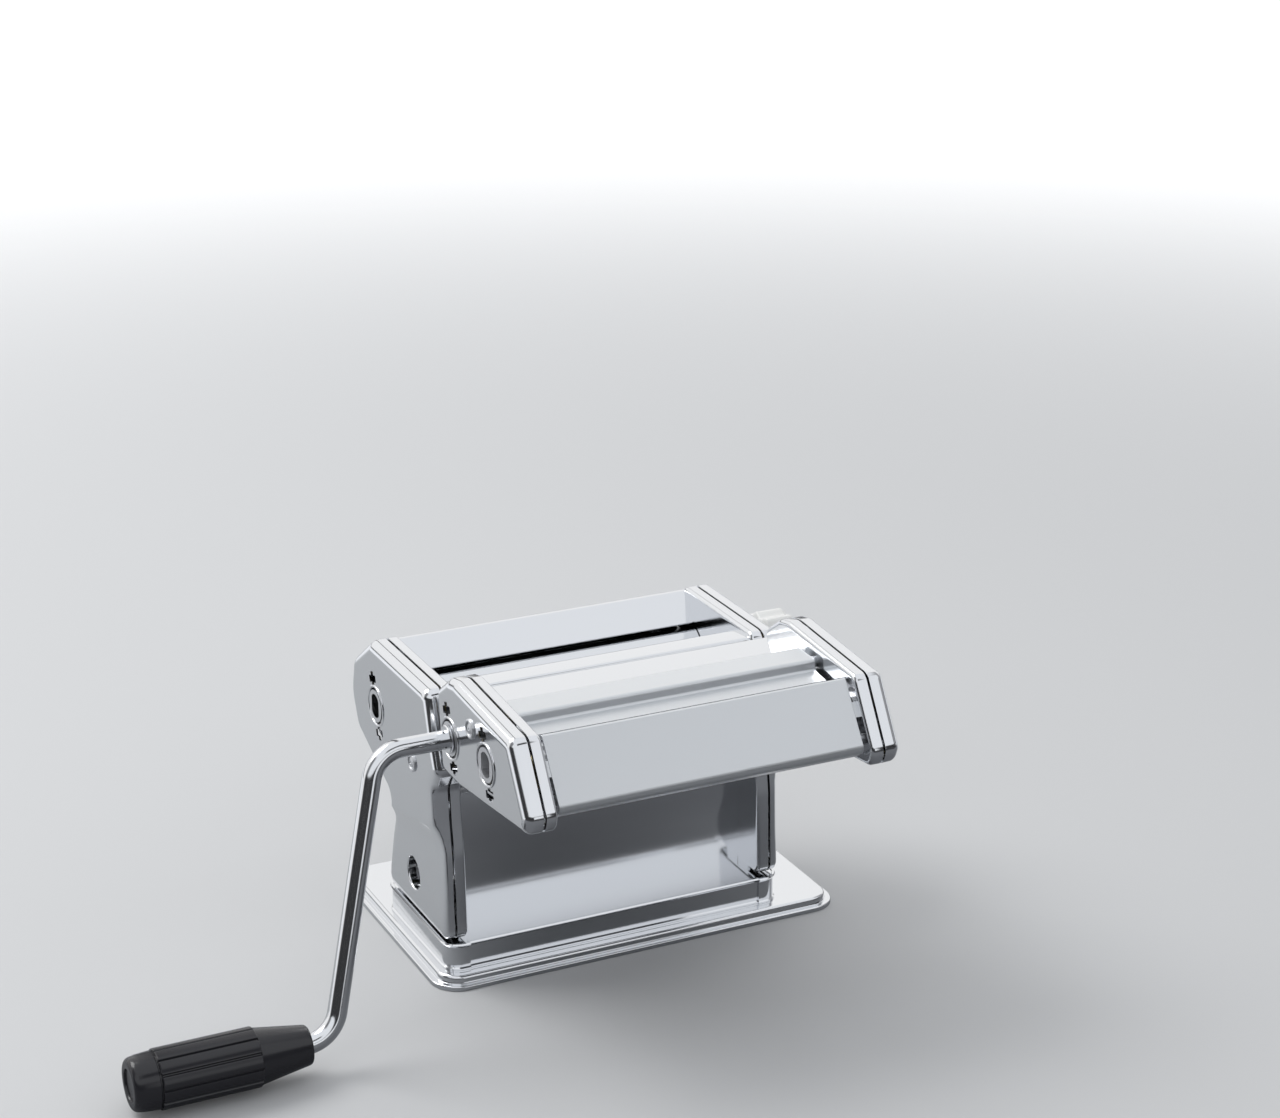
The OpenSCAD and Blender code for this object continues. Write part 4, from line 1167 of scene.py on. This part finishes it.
@dataclass(frozen=True)
class CutterHead:
    """The lift-off head: its covers, frames, front plate and guide bar."""

    corners: Corners = (
        (-161.0, 118.4, 5.6),
        (-86.0, 110.6, 30.0),
        (-66.0, 111.6, 5.6),
        (-62.3, 150.0, 5.6),
        (-76.0, 159.5, 8.0),
        (-84.0, 160.9, 8.0),
        (-145.6, 156.4, 5.8),
        (-163.8, 126.0, 6.0),
    )
    longest: float = 12.0
    wide_axis: Pair = (-79.3, 132.0)
    pitch: float = 41.2
    pair: float = 18.4
    tilt: float = 5.0
    drive_bush_r: float = 9.0
    idle_bush_r: float = 7.5
    rods: Points = ((-70.5, 122.5), (-106.5, 149.0), (-151.5, 128.5))
    rod_hole_r: float = 1.82
    rivet_at: Pair = (-103.5, 145.9)
    plate_half: float = 73.5
    plate_edge: float = 0.3
    plate_path: Corners = (
        (-138.5, 152.0, 0.0),
        (-141.0, 155.0, 1.4),
        (-160.4, 126.0, 3.5),
        (-153.0, 121.0, 0.0),
    )
    plate_tab: Points = ((-151.3, 139.0), (-149.6, 137.9), (-145.7, 143.7), (-147.4, 144.9))
    tab_x: Pair = (72.5, 75.5)
    bar_path: Corners = (
        (-93.8, 144.6, 0.0),
        (-98.3, 153.9, 2.0),
        (-114.0, 153.4, 2.0),
        (-114.5, 148.4, 1.5),
        (-124.5, 147.0, 0.0),
    )
    bar_cap: Points = ((-98.6, 153.0), (-113.0, 152.6), (-113.4, 147.6), (-95.6, 146.0))
    cap_x: Pair = (72.3, 73.45)

    def axis(self, along: float) -> Pair:
        """A shaft's axis, from its distance to the wide cutter's driven one."""
        a = math.radians(self.tilt)
        return (self.wide_axis[0] - along * math.cos(a), self.wide_axis[1] + along * math.sin(a))

    def outline(self) -> np.ndarray:
        """The head's closed side outline."""
        return divided(rounded(self.corners, step=6.0), self.longest)

    def cover(self, side: float, name: str, sockets: Sequence[Socket]) -> None:
        """Builds one cover.

        Args:
            side: -1 for the crank's side and 1 for the other.
            name: its CAD node.
            sockets: the ringed holes in it.
        """
        piece = Piece(side)
        SIDES.cover(self.outline()).shell(piece, [hole for socket in sockets for hole in socket.holes()])
        for socket in sockets:
            socket.add_bead(piece)
        piece.finish(name + "_sheet", Finish.MIRROR_STEEL, "cutter_head", [name])

    def frame(self, side: float, name: str) -> None:
        """Builds one inner frame.

        Args:
            side: -1 for the crank's side and 1 for the other.
            name: its CAD node.
        """
        holes = [circle(self.axis(d), self.drive_bush_r) for d in (0.0, self.pitch)]
        holes += [circle(self.axis(d + self.pair), self.idle_bush_r) for d in (0.0, self.pitch)]
        holes += [circle(rod, self.rod_hole_r, 32) for rod in self.rods]
        piece = Piece(side)
        SIDES.frame(self.outline()).shell(piece, holes)
        piece.finish(name + "_sheet", Finish.MIRROR_STEEL, "cutter_head", [name])

    def bent(self, path: Sequence[Corner], end: Sequence[Pair], span: Pair, name: str, node: str) -> None:
        """Builds a bent sheet between the frames, with a small plate at each end.

        Args:
            path: corners of its outer line.
            end: corners of the end's plate.
            span: x of the end plate's two faces.
            name: the piece's name.
            node: its CAD node.
        """
        line = rounded(path, closed=False, step=8.0)
        section = np.concatenate([line, offset(line, SIDES.sheet, closed=False)[::-1]])
        piece = Piece()
        piece.prism(section, -self.plate_half, self.plate_half, self.plate_edge)
        for piece.side in (-1.0, 1.0):
            piece.prism(np.array(end), *span)
        piece.finish(name, Finish.SATIN_ALUMINIUM, "cutter_head", [node])

    def build(self) -> None:
        """Builds the covers, the frames, the plate before the narrow cutter, the bar and the rivets."""
        self.cover(-1.0, "cutter_left_cover", [Socket(self.axis(d)) for d in (0.0, self.pitch)])
        self.cover(1.0, "cutter_right_cover", [])
        self.frame(-1.0, "cutter_left_frame")
        self.frame(1.0, "cutter_right_frame")
        self.bent(self.plate_path, self.plate_tab, self.tab_x, "front_plate_sheet", "cutter_front_plate")
        self.bent(self.bar_path, self.bar_cap, self.cap_x, "guide_bar_sheet", "cutter_guide_bar")
        Rivet(self.rivet_at).pair("cutter_rivet_heads", "cutter_head", "cutter_rivets")


# ---------------- base


@dataclass(frozen=True)
class Base:
    """The base plate: a pressed sheet with a stepped lip all round."""

    length: float = 210.0
    width: float = 137.6
    corner_r: float = 14.0
    corner_sides: int = 14
    top: float = 5.95
    under: float = 5.0
    profile: Corners = (
        (-1.0, 0.2, 0.0),
        (0.0, 0.2, 0.0),
        (0.0, 2.4, 0.7),
        (-3.0, 2.4, 0.3),
        (-3.5, 5.95, 1.6),
        (-5.2, 5.95, 0.0),
    )
    lining: Corners = ((-5.2, 5.0, 0.0), (-4.4, 5.0, 0.6), (-4.1, 1.4, 0.4), (-1.0, 1.4, 0.0))

    def ring(self, out: float) -> np.ndarray:
        """The base's outline moved outward.

        Args:
            out: how far it moves.

        Returns:
            Points of a rectangle with corners of the radius r + out about fixed centres.
        """
        half = np.array([self.length / 2.0 - self.corner_r, self.width / 2.0 - self.corner_r])
        radius = self.corner_r + out
        quarter = np.array(arc((0.0, 0.0), (radius, radius), (0.0, 90.0), self.corner_sides))
        turns = ((1, 0), (0, 1), (-1, 0), (0, -1))
        signs = ((1, 1), (-1, 1), (-1, -1), (1, -1))
        parts = [quarter @ np.array([[c, s], [-s, c]]) + half * sign for (c, s), sign in zip(turns, signs)]
        return np.concatenate(parts) - (MACHINE_X, 0.0)

    def build(self) -> None:
        """Builds the lip and its lining as one ring of rows, and the faces inside them as fans."""
        piece = Piece()
        lip = rounded(self.profile, closed=False, step=10.0)
        lining = rounded(self.lining, closed=False, step=15.0)
        loops = [(self.ring(out), z) for out, z in np.concatenate([lip, lining])]
        rows = [np.column_stack([loop, np.full(len(loop), z)]) for loop, z in loops]
        piece.grid(np.stack(rows), close_rows=True)
        for out, z in ((lip[-1][0], self.top), (lining[0][0], self.under)):
            loop = self.ring(out)
            count = len(loop)
            points = np.concatenate([loop, [loop.mean(axis=0)]])
            i = np.arange(count)
            fan = np.stack([i, (i + 1) % count, np.full(count, count)], axis=1)
            piece.add(np.column_stack([points, np.full(count + 1, z)]), fan)
        piece.finish("base_plate_sheet", Finish.MIRROR_STEEL, "machine", ["base_plate"])


# ---------------- crank


@dataclass(frozen=True)
class Crank:
    """The crank: a bent rod with a collar and a flatted plug, and a ribbed grip that turns on it."""

    axis: Pair = (-79.3, 132.0)
    grip_axis: Pair = (-109.3, 15.0)
    start: float = -89.7
    bend_x: float = -125.6
    grip_x: float = -160.5
    end: float = -247.0
    rod_r: float = 4.4
    bend_r: float = 16.0
    longest: float = 8.0
    collar_r: float = 6.6
    collar_from: float = 91.2
    collar_to: float = 92.7
    collar_inner: float = 0.3
    collar_outer: float = 0.5
    plug_r: float = 5.7
    plug_flat: float = 4.4
    plug_from: float = 78.0
    plug_to: float = 91.4
    plug_edge: float = 0.5
    bore: float = 4.5
    grip_from: float = -172.0
    nose: Points = ((7.9, 0.0), (8.3, 0.1), (8.7, 0.5), (8.9, 1.0))
    cone_r: float = 12.6
    land_from: float = -196.0
    land_to: float = -240.0
    land_r: float = 13.3
    land_start: Corners = ((0.7, 0.0, 0.6), (0.25, 0.05, 1.0), (0.0, 0.4, 1.0))
    land_end: Corners = ((0.0, 0.4, 1.0), (0.3, 0.0, 1.0), (2.3, 0.0, 0.0))
    grip_sides: int = 360
    lands: int = 12
    groove_turn: float = 27.0
    groove_half: float = 3.3
    groove: float = 0.9
    cap_r: float = 12.7
    cap_side: Points = ((12.7, 0.0), (0.8, 0.0), (0.8, 0.7), (0.2, 0.75), (0.0, 1.0), (0.4, 7.0))
    cap_from: float = -240.05
    cap_to: float = -252.0
    cap_flat_r: float = 9.6
    cap_round: Pair = (2.4, 3.4)
    cap_dish: Points = ((7.6, 0.0), (7.3, 0.15), (7.1, 0.8), (6.8, 0.9), (0.0, 0.9))

    def rod(self) -> None:
        """Builds the rod with its collar and its plug."""
        ends = ((self.start, self.axis), (self.bend_x, self.axis))
        ends += ((self.grip_x, self.grip_axis), (self.end, self.grip_axis))
        line = np.array([(x, *yz) for x, yz in ends])
        drop = unit(line[2, 1:] - line[1, 1:])
        flat = np.column_stack([line[:, 0], (line[:, 1:] - line[0, 1:]) @ drop])
        corners = [(x, down, self.bend_r) for x, down in flat]
        path = divided(rounded(corners, closed=False, step=3.0), self.longest, closed=False)
        solid = np.column_stack([path[:, 0], line[0, 1:] + path[:, 1:] * drop])
        piece = Piece()
        piece.swept(solid, np.array([0.0, -drop[1], drop[0]]), self.rod_r)
        piece.side = -1.0
        r, face, back = self.collar_r, self.collar_from, self.collar_to
        inner, outer = self.collar_inner, self.collar_outer
        collar = [(0.0, face), (r - inner, face), (r, face + inner), (r, back - outer), (r - outer, back)]
        piece.turned(self.axis, collar + [(0.0, back)], 72)
        half = math.degrees(math.acos(self.plug_flat / self.plug_r))
        radii = (self.plug_r, self.plug_r)
        plug = arc(self.axis, radii, (half, 180.0 - half), 13)
        plug += arc(self.axis, radii, (180.0 + half, 360.0 - half), 13)
        piece.prism(np.array(plug), self.plug_from, self.plug_to, self.plug_edge)
        piece.finish("crank_bent_rod", Finish.MIRROR_STEEL, "crank", ["crank_rod"])

    def groove_depth(self, turn: np.ndarray) -> np.ndarray:
        """How deep the grooves are at each angle round the grip.

        Args:
            turn: the angles, in degrees.

        Returns:
            A smooth dip of the groove's depth at every multiple of the pitch from the first groove.
        """
        pitch = 360.0 / self.lands
        off = np.abs((turn - self.groove_turn + pitch / 2.0) % pitch - pitch / 2.0)
        t = np.clip(1.0 - off / self.groove_half, 0.0, 1.0)
        return self.groove * np.clip(1.6 * t, 0.0, 1.0) ** 1.5

    def grip(self) -> None:
        """Builds the grip: a smooth cone and a grooved body whose radius depends on x and on the angle."""
        rows = [(self.bore, self.grip_from, 0.0)]
        rows += [(r, self.grip_from - d, 0.0) for r, d in self.nose] + [(self.cone_r, self.land_from, 0.0)]
        rows += [(self.land_r - lower, self.land_from - d, share) for lower, d, share in self.land_start]
        rows += [(self.land_r - lower, self.land_to + d, share) for lower, d, share in self.land_end]
        rows += [(self.bore, self.land_to, 0.0), (self.bore, self.grip_from, 0.0)]
        piece = Piece()
        piece.ribbed(self.grip_axis, rows, self.groove_depth(np.degrees(even_turns(self.grip_sides))))
        piece.finish("crank_grip_body", Finish.BLACK_PLASTIC, "grip", ["crank_grip"])

    def cap(self) -> None:
        """Builds the grip's cap, with its rounded edge and its shallow round recess."""
        profile = [(self.cap_r - lower, self.cap_from - d) for lower, d in self.cap_side]
        centre = (self.cap_flat_r, self.cap_to + self.cap_round[1])
        profile += arc(centre, self.cap_round, (0.0, -90.0), 8)
        profile += [(r, self.cap_to + d) for r, d in self.cap_dish]
        piece = Piece()
        piece.turned(self.grip_axis, profile, 96)
        piece.finish("grip_end_cap", Finish.BLACK_PLASTIC, "grip", ["grip_cap"])

    def build(self) -> None:
        """Builds the rod, the grip and its cap."""
        self.rod()
        self.grip()
        self.cap()


# ---------------- thickness knob


@dataclass(frozen=True)
class Knob:
    """The thickness knob: a skirt, a ribbed body with a rounded end, and a cap let into it."""

    axis: Pair = (-15.25, 112.5)
    start: float = 93.5
    end: float = 113.5
    bore: float = 4.95
    skirt: Points = ((21.6, 0.0), (22.0, 0.4), (22.0, 2.6), (21.6, 3.0), (20.0, 3.7))
    neck_r: float = 20.0
    radius: float = 25.0
    ribs: int = 14
    rib_sides: int = 12
    rib_depth: float = 2.4
    rib_at: float = 5.4
    rib_ease: float = 1.4
    round_r: float = 2.6
    seat: Corners = ((22.35, 0.0, 0.4), (22.25, 0.8, 0.0), (18.0, 0.8, 0.0))
    wall_r: float = 18.0
    web: float = 7.0
    pin_off: float = 12.0
    pin_r: float = 0.9
    pin_edge: float = 0.3
    pin_from: float = 91.7
    pin_to: float = 93.6
    cap_r: float = 22.0
    cap_from: float = 112.75
    cap_to: float = 115.5
    cap_round: float = 2.0
    dish_r: float = 17.0
    dish: float = 0.9

    def rib(self, turn: np.ndarray) -> np.ndarray:
        """How deep the dips between the ribs are: half the depth times 1 - cos(n a) at each angle a."""
        return 0.5 * self.rib_depth * (1.0 - np.cos(self.ribs * turn))

    def body(self) -> None:
        """Builds the body: its radius at each x, less the dip at each angle by that row's share."""
        tall, end, ease = self.radius - self.neck_r, self.end, self.round_r
        low = arc((self.neck_r, self.start + self.rib_at), (tall, self.rib_ease), (-90.0, 0.0), 7)
        top = arc((self.radius - ease, end - ease), (ease, ease), (0.0, 90.0), 7)
        floor = self.start + self.web
        rows = [(self.bore, self.start, 0.0)] + [(r, self.start + d, 0.0) for r, d in self.skirt]
        rows += [(r, x, (r - self.neck_r) / tall) for r, x in low] + [(r, x, 1.0) for r, x in top]
        rows += [(r, end - d, share) for r, d, share in self.seat]
        rows += [(self.wall_r, floor, 0.0), (self.bore, floor, 0.0), (self.bore, self.start, 0.0)]
        piece = Piece()
        piece.ribbed(self.axis, rows, self.rib(even_turns(self.rib_sides * self.ribs)))
        r, tip, root = self.pin_r, self.pin_from, self.pin_to
        pin = [(0.0, root), (r, root), (r, tip + self.pin_edge), (r - self.pin_edge, tip), (0.0, tip)]
        piece.turned((self.axis[0] - self.pin_off, self.axis[1]), pin, 24)
        piece.finish("knob_ribbed_body", Finish.PALE_PLASTIC, "knob_set", ["knob"])

    def cap(self) -> None:
        """Builds the cap: a rounded rim, and a dish whose depth grows with the sine squared inward."""
        ease = self.cap_round
        profile = [(0.0, self.cap_from), (self.cap_r, self.cap_from)]
        profile += arc((self.cap_r - ease, self.cap_to - ease), (ease, ease), (0.0, 90.0), 7)
        for t in np.linspace(0.0, 1.0, 8):
            depth = self.dish * math.sin(0.5 * math.pi * t) ** 2
            profile.append((self.dish_r * (1.0 - t), self.cap_to - depth))
        piece = Piece()
        piece.turned(self.axis, profile, 120)
        piece.finish("knob_end_cap", Finish.PALE_PLASTIC, "knob_set", ["knob_cap"])

    def build(self) -> None:
        """Builds the body and the cap."""
        self.body()
        self.cap()


# ---------------- the scene


def dress(obj: bpy.types.Object, slot: str, weld: float = 5e-6, split: float = 28.0) -> None:
    """Gives a CAD node its finish and smooth round faces.

    Args:
        obj: the node's object.
        slot: the name of its finish in the record.
        weld: points nearer than this are joined, in metres.
        split: edges with a larger angle than this stay sharp, in degrees.
    """
    obj.data.materials.clear()
    obj.data.materials.append(Finish[slot.upper()].material())
    obj.data.polygons.foreach_set("use_smooth", np.ones(len(obj.data.polygons), bool))
    obj.modifiers.new("weld", "WELD").merge_threshold = weld
    obj.modifiers.new("edges", "EDGE_SPLIT").split_angle = math.radians(split)


def main() -> None:
    """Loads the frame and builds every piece."""
    logging.basicConfig(level=logging.INFO, format="%(name)s: %(message)s")
    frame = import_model()
    Studio().build()
    slots = {s["node"]: s["material_slot"] for s in frame["record"]["subparts"]}
    for name in sorted(frame["nodes"]):
        dress(frame["nodes"][name], slots[name])
    log.info("dressed %d CAD nodes", len(frame["nodes"]))
    for assembly in (Base(), Body(), CutterHead(), Crank(), Knob()):
        assembly.build()


if __name__ == "__main__":
    main()
